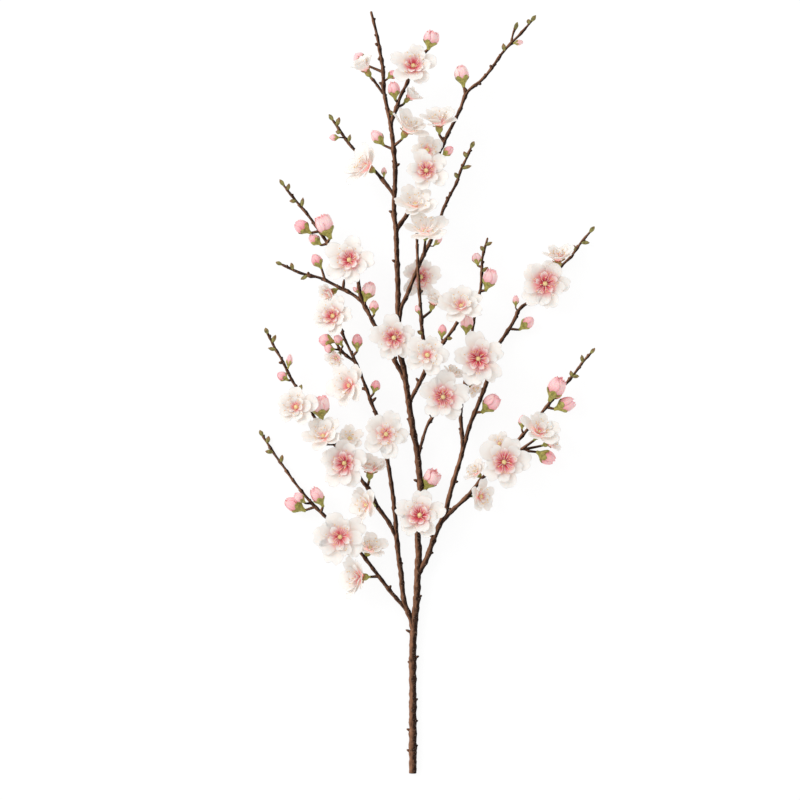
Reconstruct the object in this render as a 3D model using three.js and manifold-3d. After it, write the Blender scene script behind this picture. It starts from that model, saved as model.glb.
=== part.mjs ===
// A cut flowering plum branch, lying on a surface.
// Millimetres, +Z up. The branch lies along Y, its cut end at -Y and its tip at +Y.
// The origin is at the bottom centre of its box.
import * as THREE from 'three';
import Module from 'manifold-3d';

const wasm = await Module();
wasm.setup();

// ---- Driving dimensions, mm ----
const BRANCH_LENGTH = 521;      // cut end to tip
const PETAL_THICKNESS = 0.75;
const CALYX_DEPTH = 5.0;        // base of the calyx to the petals of an open bloom
const CALYX_FOOT_RADIUS = 1.1;
const CALYX_CUP_RADIUS = 2.2;
const SEAT_GAP = 0.3;           // clearance between a stalk and the bloom that it carries
const STALK_RADIUS = 0.85;

// Plan tables: steps of 1/766 of the branch's length, from the cut end's centre.
// x runs right, y along the branch, z up from the surface.
const STEP = BRANCH_LENGTH / 766;
const ORIGIN = [13.6, 383.1, 0.5];  // plan place of the box's bottom centre

const BARK = { color: 0x5a4336, roughness: 0.85, metalness: 0 };
const PETAL = { color: 0xf3e6e4, roughness: 0.6, metalness: 0 };
const BUD = { color: 0xd98aa0, roughness: 0.6, metalness: 0 };

// ---- Limbs: name, radius at base and tip, taper power, centreline ----
const LIMBS = [
  ["main", 3.7, 1.2, 0.62, [
    [0, 0, 4], [0, 38, 4], [0, 78, 5], [0, 128, 6.5], [2, 158, 8], [4, 178, 9],
    [6, 223, 11], [5, 243, 12], [8, 281, 14], [6, 308, 15], [0, 348, 17], [-6, 388, 20],
    [-13, 428, 22], [-15, 456, 23], [-16, 518, 26], [-19, 565, 28], [-18, 613, 30],
    [-24, 662, 31], [-29, 686, 32], [-30, 708, 33], [-36, 742, 34], [-42, 766, 34]]],
  ["left_primary", 2.7, 1.1, 0.8, [
    [-2, 156, 8], [-9, 175, 8], [-12, 203, 9], [-18, 263, 13], [-22, 295, 15],
    [-33, 353, 19], [-42, 376, 20], [-57, 415, 21], [-74, 453, 23]]],
  ["left_low", 2.0, 1.05, 0.9, [
    [-6, 165, 8], [-23, 185, 9], [-42, 210, 11], [-68, 242, 13], [-91, 263, 13],
    [-104, 276, 12], [-119, 294, 9], [-138, 320, 5], [-154, 344, 1.8]]],
  ["left_mid", 2.2, 1.05, 0.9, [
    [-16, 237, 11], [-24, 254, 13], [-36, 271, 14], [-43, 286, 15], [-53, 299, 16],
    [-75, 329, 18], [-91, 349, 19], [-112, 382, 20], [-132, 419, 21], [-147, 447, 22]]],
  ["left_cross", 2.3, 1.05, 0.9, [
    [-10, 402, 21], [-21, 422, 23], [-28, 436, 24], [-40, 456, 25], [-50, 475, 25],
    [-64, 486, 25], [-92, 500, 25], [-117, 507, 25], [-134, 515, 25]]],
  ["left_high", 2.0, 1.05, 0.9, [
    [-50, 475, 25], [-57, 508, 25], [-81, 529, 26], [-93, 546, 27], [-105, 563, 28],
    [-131, 595, 29]]],
  ["left_top", 1.9, 1.05, 0.9, [
    [-19, 582, 29], [-33, 602, 23], [-48, 618, 21], [-63, 634, 22], [-82, 661, 24]]],
  ["spur_top", 1.4, 1.2, 1, [[-30, 684, 32], [-37, 694, 33], [-41, 699, 33]]],
  ["spur_mid", 1.5, 1.2, 1, [[-58, 416, 21], [-66, 422, 22], [-72, 427, 22], [-76, 431, 23]]],
  ["right_crown", 2.0, 1.1, 0.9, [
    [-22, 653, 31], [-12, 682, 34], [0, 708, 34], [14, 727, 36]]],
  ["right_top", 2.3, 1.05, 0.9, [
    [-16, 548, 28], [0, 578, 23], [15, 605, 25], [25, 623, 28], [40, 654, 31],
    [54, 685, 33], [67, 696, 33], [89, 724, 34], [120, 758, 35]]],
  ["right_top_fork", 1.2, 1.0, 1, [[98, 735, 35], [100, 744, 35], [103, 750, 36]]],
  ["right_high", 2.2, 1.05, 0.9, [
    [-12, 470, 24], [-1, 496, 24], [11, 524, 23], [26, 555, 23], [36, 581, 27],
    [48, 608, 29], [59, 633, 30]]],
  ["hidden_spur", 1.5, 1.1, 1, [[-11, 472, 24], [-10, 476, 9], [-4, 486, 3], [8, 499, 2.4]]],
  ["right_inner", 2.1, 1.4, 1, [
    [-4, 373, 19], [12, 407, 21], [25, 429, 21], [46, 457, 23]]],
  ["centre_twig", 1.9, 1.3, 1, [
    [12, 407, 21], [11, 433, 23], [7, 478, 28], [5, 508, 29], [4, 542, 22],
    [4, 556, 22], [2, 562, 24]]],
  ["right_spur", 1.7, 1.3, 1, [[6, 323, 16], [14, 351, 18], [24, 367, 20]]],
  ["right_primary", 2.7, 1.05, 0.8, [
    [5, 200, 10], [14, 218, 11], [33, 266, 14], [40, 293, 15], [59, 357, 15],
    [74, 395, 14], [80, 426, 12], [109, 471, 7], [124, 481, 4], [137, 495, 2.3],
    [150, 513, 4], [181, 550, 9]]],
  ["right_cross", 2.0, 1.05, 0.9, [
    [50, 330, 15], [48, 366, 18], [57, 428, 20], [68, 490, 22], [70, 522, 23],
    [75, 541, 24]]],
  ["right_low", 2.2, 1.05, 0.9, [
    [28, 253, 13], [39, 266, 14], [70, 299, 15], [103, 334, 15], [133, 369, 14],
    [160, 401, 14], [181, 427, 15]]],
  ["right_low_spur", 1.5, 1.2, 1, [[99, 329, 15], [107, 327, 14], [117, 328, 13]]],
];

// ---- Woody stubs: limb, end in plan ----
const STUBS = [
  ["main", -7, 142], ["main", 6, 116], ["main", 5, 73], ["main", 5, 51], ["main", -6, 42],
  ["main", -6, 21], ["main", 9, 178], ["main", 1, 295], ["main", -21, 516],
  ["main", -35, 717], ["left_primary", -36, 378], ["left_primary", -69, 447],
  ["left_low", -21, 189], ["left_mid", -49, 294], ["left_mid", -39, 284],
  ["left_mid", -98, 357], ["left_cross", -66, 497], ["left_cross", -15, 420],
  ["right_top", 50, 688], ["right_top", 29, 640], ["right_high", 33, 581],
  ["right_cross", 44, 368], ["right_cross", 46, 348], ["right_cross", 58, 395],
  ["right_primary", 20, 222], ["right_primary", 45, 294], ["right_primary", 69, 389],
  ["right_primary", 84, 431], ["right_spur", 10, 367], ["centre_twig", 10, 486],
];

// ---- Small green buds: limb, tip in plan ----
const GREEN_BUDS = [
  ["left_low", -155, 347], ["left_low", -146, 341], ["left_low", -149, 326],
  ["left_low", -132, 322], ["left_mid", -148, 450], ["left_mid", -138, 443],
  ["left_mid", -145, 430], ["left_mid", -112, 393], ["left_cross", -137, 516],
  ["left_cross", -122, 515], ["left_cross", -112, 499], ["left_high", -133, 598],
  ["left_high", -124, 594], ["left_high", -123, 577], ["left_high", -110, 580],
  ["left_top", -84, 664], ["left_top", -74, 661], ["left_top", -77, 647],
  ["left_top", -63, 644], ["right_crown", -23, 667], ["right_top", 122, 761],
  ["right_top", 115, 757], ["right_top", 90, 733], ["right_top_fork", 104, 754],
  ["right_high", 61, 636], ["right_high", 51, 626], ["right_high", 58, 612],
  ["right_high", 42, 605], ["right_inner", 39, 440], ["centre_twig", 5, 447],
  ["right_cross", 68, 532], ["right_cross", 79, 536], ["right_cross", 75, 511],
  ["right_primary", 163, 534], ["right_primary", 178, 537], ["right_primary", 183, 553],
  ["right_low", 183, 430], ["right_low", 170, 423], ["right_low", 167, 402],
  ["right_low", 159, 407],
];

// ---- Blooms: name, limb, place of the petals' centre, facing, radius, cup, turn in degrees ----
const BLOOMS = [
  ["bloom_01", "right_crown", [0, 708, 44], [0.05, 0.35, 0.93], 23.5, 0.28, 10],
  ["bloom_02", "spur_top", [-46, 706, 35], [-0.5, 0.75, 0.4], 15, 0.9, 0],
  ["bloom_07", "right_crown", [-5, 680, 25], [0.65, 0.7, 0.2], 12, 0.85, 0],
  ["bloom_09", "main", [-7, 645, 39], [0.45, 0.7, 0.55], 22, 0.55, 20],
  ["bloom_10", "right_top", [26, 651, 38], [-0.05, 0.8, 0.58], 22, 0.55, 0],
  ["bloom_11", "right_top", [14, 627, 31], [0.05, 0.05, 1], 16.5, 0.25, 30],
  ["bloom_14", "left_top", [-44, 609, 38], [-0.72, 0.4, 0.58], 24, 0.5, 0],
  ["bloom_16", "right_top", [13, 605, 42.5], [0, 0.15, 1], 22, 0.25, 40],
  ["bloom_17", "centre_twig", [2, 570, 43], [0.03, 0.56, 0.83], 23, 0.5, 12],
  ["bloom_18", "right_high", [12, 543, 45], [0, 0.75, 0.66], 24, 0.4, 0],
  ["bloom_19", "hidden_spur", [8, 502, 11], [0, 0, 1], 20, 0.06, 15],
  ["bloom_24", "left_high", [-63, 517, 38], [-0.15, 0.1, 1], 25, 0.22, 0],
  ["bloom_25", "left_cross", [-82, 487, 12], [-0.75, -0.4, 0.5], 15, 0.55, 0],
  ["bloom_26", "left_primary", [-79, 461, 33], [-0.3, 0.25, 0.9], 21.5, 0.3, 0],
  ["bloom_33", "spur_mid", [-76, 422, 17], [-0.5, -0.55, 0.65], 13, 0.5, 0],
  ["bloom_34", "left_cross", [-19, 440, 34], [0, 0, 1], 23.5, 0.2, 25],
  ["bloom_35", "left_primary", [-62, 392, 24], [-0.6, 0.1, 0.78], 25, 0.38, 0],
  ["bloom_37", "left_mid", [-116, 370, 31], [-0.2, 0.3, 0.93], 22, 0.3, 20],
  ["bloom_41", "left_mid", [-89, 340, 33], [-0.15, 0.6, 0.78], 21, 0.38, 0],
  ["bloom_42", "left_mid", [-68, 315, 30], [-0.2, 0, 1], 25, 0.2, 15],
  ["bloom_43", "left_mid", [-64, 338, 17], [0.1, 0.5, 0.85], 15, 0.4, 0],
  ["bloom_44", "left_mid", [-43, 305, 16], [0.12, 0.85, 0.45], 18, 0.65, 0],
  ["bloom_45", "left_primary", [-27, 344, 32], [0, 0, 1], 24, 0.2, 0],
  ["bloom_49", "left_low", [-73, 241, 26], [0, 0, 1], 27, 0.2, 30],
  ["bloom_50", "left_low", [-44.5, 226.5, 14], [0.3, 0.75, 0.55], 19, 0.5, 0],
  ["bloom_51", "left_mid", [-44.5, 272.5, 24], [-0.7, 0.1, 0.68], 20, 0.42, 0],
  ["bloom_52", "left_low", [-51, 200, 18], [-0.82, 0.05, 0.58], 24, 0.55, 0],
  ["bloom_53", "right_primary", [7, 262, 28], [-0.1, 0.3, 0.95], 25, 0.2, 18],
  ["bloom_55", "right_low", [91, 316, 30], [0, 0, 1], 26.5, 0.2, 0],
  ["bloom_56", "right_low", [65, 304, 15], [-0.55, 0.6, 0.58], 14, 0.5, 0],
  ["bloom_57", "right_low", [87, 334, 20], [0, 0.2, 1], 12, 0.2, 0],
  ["bloom_58", "right_low", [66, 281, 18], [0.65, 0, 0.75], 18, 0.45, 0],
  ["bloom_60", "right_spur", [30, 381, 32], [0, 0, 1], 25, 0.2, 8],
  ["bloom_61", "right_cross", [39, 402, 11], [0.3, 0.8, 0.5], 13, 0.6, 0],
  ["bloom_62", "right_cross", [65, 419, 34], [0, 0, 1], 26, 0.2, 30],
  ["bloom_63", "centre_twig", [14, 422, 43], [0, 0.15, 1], 22, 0.22, 0],
  ["bloom_64", "right_inner", [48, 470, 36], [0, 0.54, 0.84], 24, 0.3, 0],
  ["bloom_65", "centre_twig", [20, 474, 24], [0.3, 0.8, 0.5], 14.5, 0.75, 0],
  ["bloom_66", "right_cross", [59.5, 391, 18.5], [0.6, -0.5, 0.6], 10, 0.5, 0],
  ["bloom_72", "right_primary", [133, 495, 16], [0, 0, 1], 25.5, 0.2, 0],
  ["bloom_73", "right_primary", [146, 518, 17], [0, 0.85, 0.52], 19, 0.6, 0],
  ["bloom_79", "right_low_spur", [125, 344, 23], [0.3, 0.65, 0.7], 22, 0.5, 0],
  ["bloom_80", "right_low_spur", [136, 334, 14], [0.85, 0.3, 0.45], 13, 0.75, 0],
];

// ---- Opening pink buds, each a piece of its own: name, limb, base, tip, width ----
const OPENING_BUDS = [
  ["bud_04", "right_crown", [16, 730, 38], [20, 744, 41], 14],
  ["bud_06", "right_crown", [-18, 680, 36], [-20, 694, 38], 11],
  ["bud_12", "right_top", [50, 694, 34], [47, 711, 36], 13],
  ["bud_20", "left_high", [-105, 547, 28], [-118, 556, 29], 13],
  ["bud_21", "left_high", [-84, 543, 31], [-92, 561, 34], 16],
  ["bud_27", "left_cross", [-47, 480, 27], [-42, 495, 28], 13],
  ["bud_38", "left_mid", [-92, 362, 23], [-94, 381, 26], 17],
  ["bud_46", "left_low", [-112, 268, 11], [-129, 277, 10], 14],
  ["bud_48", "left_low", [-92, 274, 17], [-100, 289, 19], 12],
  ["bud_54", "main", [14, 291, 16], [23, 306, 19], 15],
  ["bud_68", "right_cross", [54, 447, 23], [54, 464, 25], 12],
  ["bud_70", "right_cross", [74, 491, 23], [80, 508, 26], 13],
  ["bud_76", "right_low", [139, 381, 22], [148, 399, 27], 16],
  ["bud_77", "right_low", [146, 370, 15], [163, 377, 17], 14],
  ["bud_81", "right_low_spur", [128, 324, 13], [143, 316, 12], 14],
  ["bud_83", "right_primary", [72, 368, 18], [85, 381, 21], 15],
];

// ---- Small pink buds, grown together with the wood: limb, base, tip, width ----
const SMALL_BUDS = [
  ["main", [-50, 717, 22], [-58, 726, 20], 12],
  ["main", [-24, 700, 33], [-17, 706, 34], 8],
  ["main", [-31, 635, 30], [-41, 647, 31], 11],
  ["right_top", [31, 623, 30], [40, 631, 31], 8.5],
  ["left_top", [-29, 603, 27], [-29, 611, 28], 5],
  ["left_top", [-75, 641, 26], [-84, 641, 26], 6],
  ["right_top", [101, 734, 35], [110, 735, 35], 5],
  ["left_high", [-94, 535, 26], [-104, 543, 24], 10],
  ["left_cross", [-93, 512, 25], [-100, 524, 26], 10],
  ["left_high", [-55, 486, 26], [-60, 491, 27], 4],
  ["left_cross", [-39, 466, 26], [-39, 478, 27], 9],
  ["spur_mid", [-81, 437, 23], [-95, 439, 24], 12],
  ["spur_mid", [-80, 429, 26], [-89, 430, 28], 8],
  ["spur_mid", [-72, 434, 26], [-78, 443, 30], 8],
  ["left_primary", [-56, 430, 23], [-56, 445, 24], 10],
  ["left_primary", [-39, 387, 22], [-36, 398, 23], 9],
  ["left_mid", [-125, 412, 22], [-123, 424, 22], 6],
  ["left_mid", [-127, 399, 21], [-136, 405, 22], 9],
  ["left_low", [-110, 276, 19], [-119, 284, 22], 9],
  ["right_low", [141, 380, 12], [151, 384, 11], 5],
  ["right_low", [110, 351, 16], [111, 363, 17], 8],
  ["right_inner", [29, 442, 22], [30, 454, 23], 8],
  ["centre_twig", [6, 465, 28], [3, 473, 30], 5],
  ["right_high", [22, 534, 24], [29, 541, 22], 5],
  ["right_cross", [65, 515, 22], [63, 526, 23], 9],
  ["right_primary", [104, 474, 9], [104, 484, 10], 6],
  ["right_primary", [110, 451, 9], [122, 461, 9], 11],
];

// ---- Geometry ----
const mm = (p) => new THREE.Vector3(
  (p[0] - ORIGIN[0]) * STEP, (p[1] - ORIGIN[1]) * STEP, (p[2] - ORIGIN[2]) * STEP);

// Two directions that make a right-handed frame with an axis.
function across(axis) {
  const helper = Math.abs(axis.z) < 0.9 ? new THREE.Vector3(0, 0, 1) : new THREE.Vector3(0, 1, 0);
  const u = new THREE.Vector3().crossVectors(helper, axis).normalize();
  const v = new THREE.Vector3().crossVectors(axis, u);
  return [u, v];
}

// A ring of points round a centre: radius and height are functions of the angle.
function ring(centre, axis, sides, radius, height = () => 0, turn = 0, start = 0) {
  const [u, v] = across(axis);
  return Array.from({ length: sides }, (_, i) => {
    const angle = start + 2 * Math.PI * i / sides;
    const r = radius(angle);
    return centre.clone()
      .addScaledVector(u, r * Math.cos(angle + turn))
      .addScaledVector(v, r * Math.sin(angle + turn))
      .addScaledVector(axis, height(angle));
  });
}

// One closed skin through rings of points, from the bottom ring to the top one.
// Neighbouring rings may have different numbers of points, and a ring of one is a pole.
function skin(rings) {
  const points = rings.flat();
  const starts = [];
  rings.reduce((sum, r) => (starts.push(sum), sum + r.length), 0);
  const faces = [];
  for (let k = 0; k + 1 < rings.length; k += 1) {
    const [nA, nB] = [rings[k].length, rings[k + 1].length];
    const a = (i) => starts[k] + (i % nA);
    const b = (i) => starts[k + 1] + (i % nB);
    let [i, j] = [0, 0];
    while (i < (nA > 1 ? nA : 0) || j < (nB > 1 ? nB : 0)) {
      const stepA = nA > 1 && i < nA && (nB === 1 || j >= nB || (i + 1) / nA <= (j + 1) / nB);
      if (stepA) {
        faces.push(a(i), a(i + 1), b(j));
        i += 1;
      } else {
        faces.push(a(i), b(j + 1), b(j));
        j += 1;
      }
    }
  }
  const first = rings[0].length;
  for (let i = 1; i + 1 < first; i += 1) {
    faces.push(0, i + 1, i);
  }
  const last = rings.length - 1;
  for (let i = 1; i + 1 < rings[last].length; i += 1) {
    faces.push(starts[last], starts[last] + i, starts[last] + i + 1);
  }
  const geometry = new THREE.BufferGeometry();
  geometry.setAttribute('position', new THREE.Float32BufferAttribute(
    points.flatMap((p) => p.toArray()), 3));
  geometry.setIndex(faces);
  return geometry;
}

const toSolid = (geometry) => new wasm.Manifold(new wasm.Mesh({
  numProp: 3,
  vertProperties: new Float32Array(geometry.attributes.position.array),
  triVerts: new Uint32Array(geometry.index.array),
}));

function toGeometry(solid) {
  const mesh = solid.getMesh();
  const geometry = new THREE.BufferGeometry();
  geometry.setAttribute('position', new THREE.BufferAttribute(mesh.vertProperties, 3));
  geometry.setIndex(new THREE.BufferAttribute(mesh.triVerts, 1));
  return geometry;
}

// A round limb through points, with a radius at each.
function tube(points, radii, sides) {
  const last = points.length - 1;
  return skin(points.map((p, i) => {
    const before = points[Math.max(i - 1, 0)];
    const after = points[Math.min(i + 1, last)];
    return ring(p, after.clone().sub(before).normalize(), sides, () => radii[i]);
  }));
}

const limbPoints = Object.fromEntries(LIMBS.map(([name, , , , path]) => [name, path.map(mm)]));

// The point of a limb's centreline that is nearest to a place, with the limb's direction there.
function nearest(limb, place) {
  const points = limbPoints[limb];
  const best = { distance: Infinity };
  points.slice(1).forEach((end, i) => {
    const line = new THREE.Line3(points[i], end);
    const point = line.closestPointToPoint(place, true, new THREE.Vector3());
    const distance = point.distanceTo(place);
    if (distance < best.distance) {
      Object.assign(best, { distance, point, along: line.delta(new THREE.Vector3()).normalize() });
    }
  });
  return best;
}

// A stalk to the foot of a bloom or bud: it leaves its limb's centreline below the foot, slants
// along the limb, and ends square to the foot.
function stalkRings(limb, foot, axis, sides) {
  const seat = nearest(limb, foot);
  const reach = seat.point.distanceTo(foot);
  const start = nearest(limb, seat.point.clone().addScaledVector(seat.along, -0.7 * reach)).point;
  const bend = foot.clone().addScaledVector(axis, -Math.min(2.0, reach * 0.4));
  const first = bend.clone().sub(start).normalize();
  const middle = first.clone().add(axis).normalize();
  return [
    ring(start, first, sides, () => STALK_RADIUS),
    ring(bend, middle, sides, () => STALK_RADIUS * 0.9),
    ring(foot, axis, sides, () => STALK_RADIUS)];
}

function stalk(limb, foot, axis) {
  const end = foot.clone().addScaledVector(axis, -SEAT_GAP);
  return skin(stalkRings(limb, end, axis, 3));
}

// ---- A bloom: calyx, outer petals, inner petals and the crown of stamens in one skin ----
const PETALS = 5;
const PETAL_TURN = 2 * Math.PI / PETALS;
const SHOULDER = PETAL_TURN / 6;   // from the middle of a petal to its shoulder

// The outline of five round petals: 1 over most of a petal, down to the notch between two.
const lobes = (angle, notchAngle, notch) => {
  const off = Math.abs(Math.sin((angle - notchAngle) / PETAL_TURN * Math.PI));
  return notch + (1 - notch) * (1 - Math.pow(1 - off, 3));
};

function bloom(centre, axis, radius, cup, turn) {
  const depth = Math.min(CALYX_DEPTH, radius * 0.42);
  const small = Math.min(1, radius / 12);
  const wave = (angle) => 0.05 * radius * Math.cos(2 * angle + turn);
  const outerRim = (angle) => radius * (1.02 - 0.25 * cup) * lobes(angle, 0, 0.64);
  const outerLift = (angle) => cup * radius + wave(angle);
  const innerRim = (angle) => radius * (0.6 - 0.15 * cup) * lobes(angle, PETAL_TURN / 2, 0.62);
  const innerLift = () => (0.34 + 0.75 * cup) * radius;
  const at = (sides, r, h, start = 0) => ring(centre, axis, sides, r, h, turn, start);
  return skin([
    at(5, () => CALYX_FOOT_RADIUS * small, () => -depth),
    at(5, () => CALYX_CUP_RADIUS * small, () => -depth * 0.5),
    at(10, () => 0.3 * radius, () => -0.4 + 0.12 * cup * radius),
    at(15, outerRim, outerLift),
    at(15, outerRim, (angle) => outerLift(angle) + PETAL_THICKNESS),
    at(10, () => 0.28 * radius, () => 0.5 + 0.3 * cup * radius),
    at(15, innerRim, innerLift, SHOULDER),
    at(15, innerRim, () => innerLift() + PETAL_THICKNESS, SHOULDER),
    at(5, () => 0.2 * radius, () => 1.6 + 0.4 * cup * radius),
    at(5, () => 0.16 * radius, () => 1.6 + 0.4 * cup * radius + 0.2 * radius),
    [centre.clone().addScaledVector(axis, 1.8 + 0.4 * cup * radius + 0.2 * radius)],
  ]);
}

// The rings of a pink bud: calyx cup, belly of folded petals, shoulder and tip.
function budRings(base, tip, width, sides) {
  const axis = tip.clone().sub(base);
  const length = axis.length();
  axis.normalize();
  const part = (share, height) => ring(
    base.clone().addScaledVector(axis, length * height), axis, sides, () => width * share);
  return [part(0.34, 0.2), part(0.5, 0.58), part(0.34, 0.88), [tip]];
}

function openingBud(base, tip, width) {
  const axis = tip.clone().sub(base).normalize();
  return skin([ring(base, axis, 6, () => CALYX_FOOT_RADIUS), ...budRings(base, tip, width, 6)]);
}

// A small bud with the stalk that it grew on.
function stalkedBud(limb, base, tip, width) {
  const axis = tip.clone().sub(base).normalize();
  return skin([...stalkRings(limb, base, axis, 4), ...budRings(base, tip, width, 4)]);
}

// ---- The wood: limbs, stubs, stalks, green buds and small pink buds as one body ----
function taper(base, tip, power, count) {
  return Array.from({ length: count }, (_, i) => {
    const along = i / (count - 1);
    const knob = i % 2 === 1 ? 1.1 : 0.96;
    return STEP * (tip + (base - tip) * Math.pow(1 - along, power)) * knob;
  });
}

function wood() {
  const solids = LIMBS.map(([name, base, tip, power]) => {
    const points = limbPoints[name];
    const sides = name === 'main' ? 6 : 5;
    return tube(points, taper(base, tip, power, points.length), sides);
  });
  for (const [limb, x, y] of STUBS) {
    const rough = nearest(limb, mm([x, y, 15]));
    const end = mm([x, y, 0]).setZ(rough.point.z + 0.8);
    solids.push(tube([rough.point, end], [1.1, 0.7], 3));
  }
  for (const [limb, x, y] of GREEN_BUDS) {
    const seat = nearest(limb, mm([x, y, 15])).point;
    const end = mm([x, y, 0]).setZ(seat.z + 1.0);
    const length = end.distanceTo(seat);
    const axis = end.clone().sub(seat).normalize();
    const middle = seat.clone().addScaledVector(axis, length * 0.5);
    solids.push(skin([ring(seat, axis, 3, () => 0.5), ring(middle, axis, 3, () => 1.2), [end]]));
  }
  for (const [limb, base, tip, width] of SMALL_BUDS) {
    solids.push(stalkedBud(limb, mm(base), mm(tip), width * STEP));
  }
  for (const [, limb, base, tip] of OPENING_BUDS) {
    const foot = mm(base);
    solids.push(stalk(limb, foot, mm(tip).sub(foot).normalize()));
  }
  for (const [, limb, place, facing, size] of BLOOMS) {
    const axis = new THREE.Vector3(...facing).normalize();
    const depth = Math.min(CALYX_DEPTH, size * STEP * 0.42);
    solids.push(stalk(limb, mm(place).addScaledVector(axis, -depth), axis));
  }
  return toGeometry(wasm.Manifold.union(solids.map(toSolid)));
}

// ---- The branch ----
const group = new THREE.Group();

function add(name, geometry, look) {
  geometry.computeVertexNormals();
  const mesh = new THREE.Mesh(geometry, new THREE.MeshStandardMaterial(look));
  mesh.name = name;
  group.add(mesh);
}

add('wood', wood(), BARK);
for (const [name, , place, facing, size, cup, turn] of BLOOMS) {
  const axis = new THREE.Vector3(...facing).normalize();
  add(name, bloom(mm(place), axis, size * STEP, cup, turn * Math.PI / 180), PETAL);
}
for (const [name, , base, tip, width] of OPENING_BUDS) {
  add(name, openingBud(mm(base), mm(tip), width * STEP), BUD);
}

export default group;
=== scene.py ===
"""A cut flowering plum branch: bark, layered blossoms, pink buds and green leaf buds.

Every surface is a function of two parameters on a numpy grid, or a profile carried along a path.
All lengths are metres; the plan tables are in steps of the branch's own length.
"""
import math

import bpy
import numpy as np
from bpy.props import FloatProperty, FloatVectorProperty, IntProperty, PointerProperty
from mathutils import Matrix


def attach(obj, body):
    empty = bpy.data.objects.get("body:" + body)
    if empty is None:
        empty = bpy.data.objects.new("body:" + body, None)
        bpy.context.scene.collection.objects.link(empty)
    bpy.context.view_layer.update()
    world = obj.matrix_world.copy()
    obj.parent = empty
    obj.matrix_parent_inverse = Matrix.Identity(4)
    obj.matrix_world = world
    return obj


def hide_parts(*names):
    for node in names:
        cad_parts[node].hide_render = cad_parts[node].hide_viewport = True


bl_info = {
    "name": "Plum Blossom Branch",
    "version": (1, 0, 0),
    "blender": (4, 5, 0),
    "location": "View3D > Sidebar > Plum",
    "description": "Builds a cut flowering plum branch lying on a surface",
    "category": "Add Mesh",
}

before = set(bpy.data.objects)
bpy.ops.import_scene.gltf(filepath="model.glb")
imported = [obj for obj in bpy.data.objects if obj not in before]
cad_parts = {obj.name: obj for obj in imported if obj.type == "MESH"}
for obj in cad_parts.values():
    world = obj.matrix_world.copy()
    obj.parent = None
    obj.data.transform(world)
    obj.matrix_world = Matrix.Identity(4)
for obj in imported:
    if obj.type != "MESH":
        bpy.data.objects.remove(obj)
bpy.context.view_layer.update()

# ---- Sizes ----
BRANCH_LENGTH = 0.521            # cut end to tip
STEP = BRANCH_LENGTH / 766       # one step of the plan tables
ORIGIN = np.array([13.6, 383.1, 0.5])
MM = 0.001
CALYX_DEPTH = 5.0 * MM           # foot of the calyx to the petals of an open bloom
STALK_RADIUS = 0.85 * MM

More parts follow.
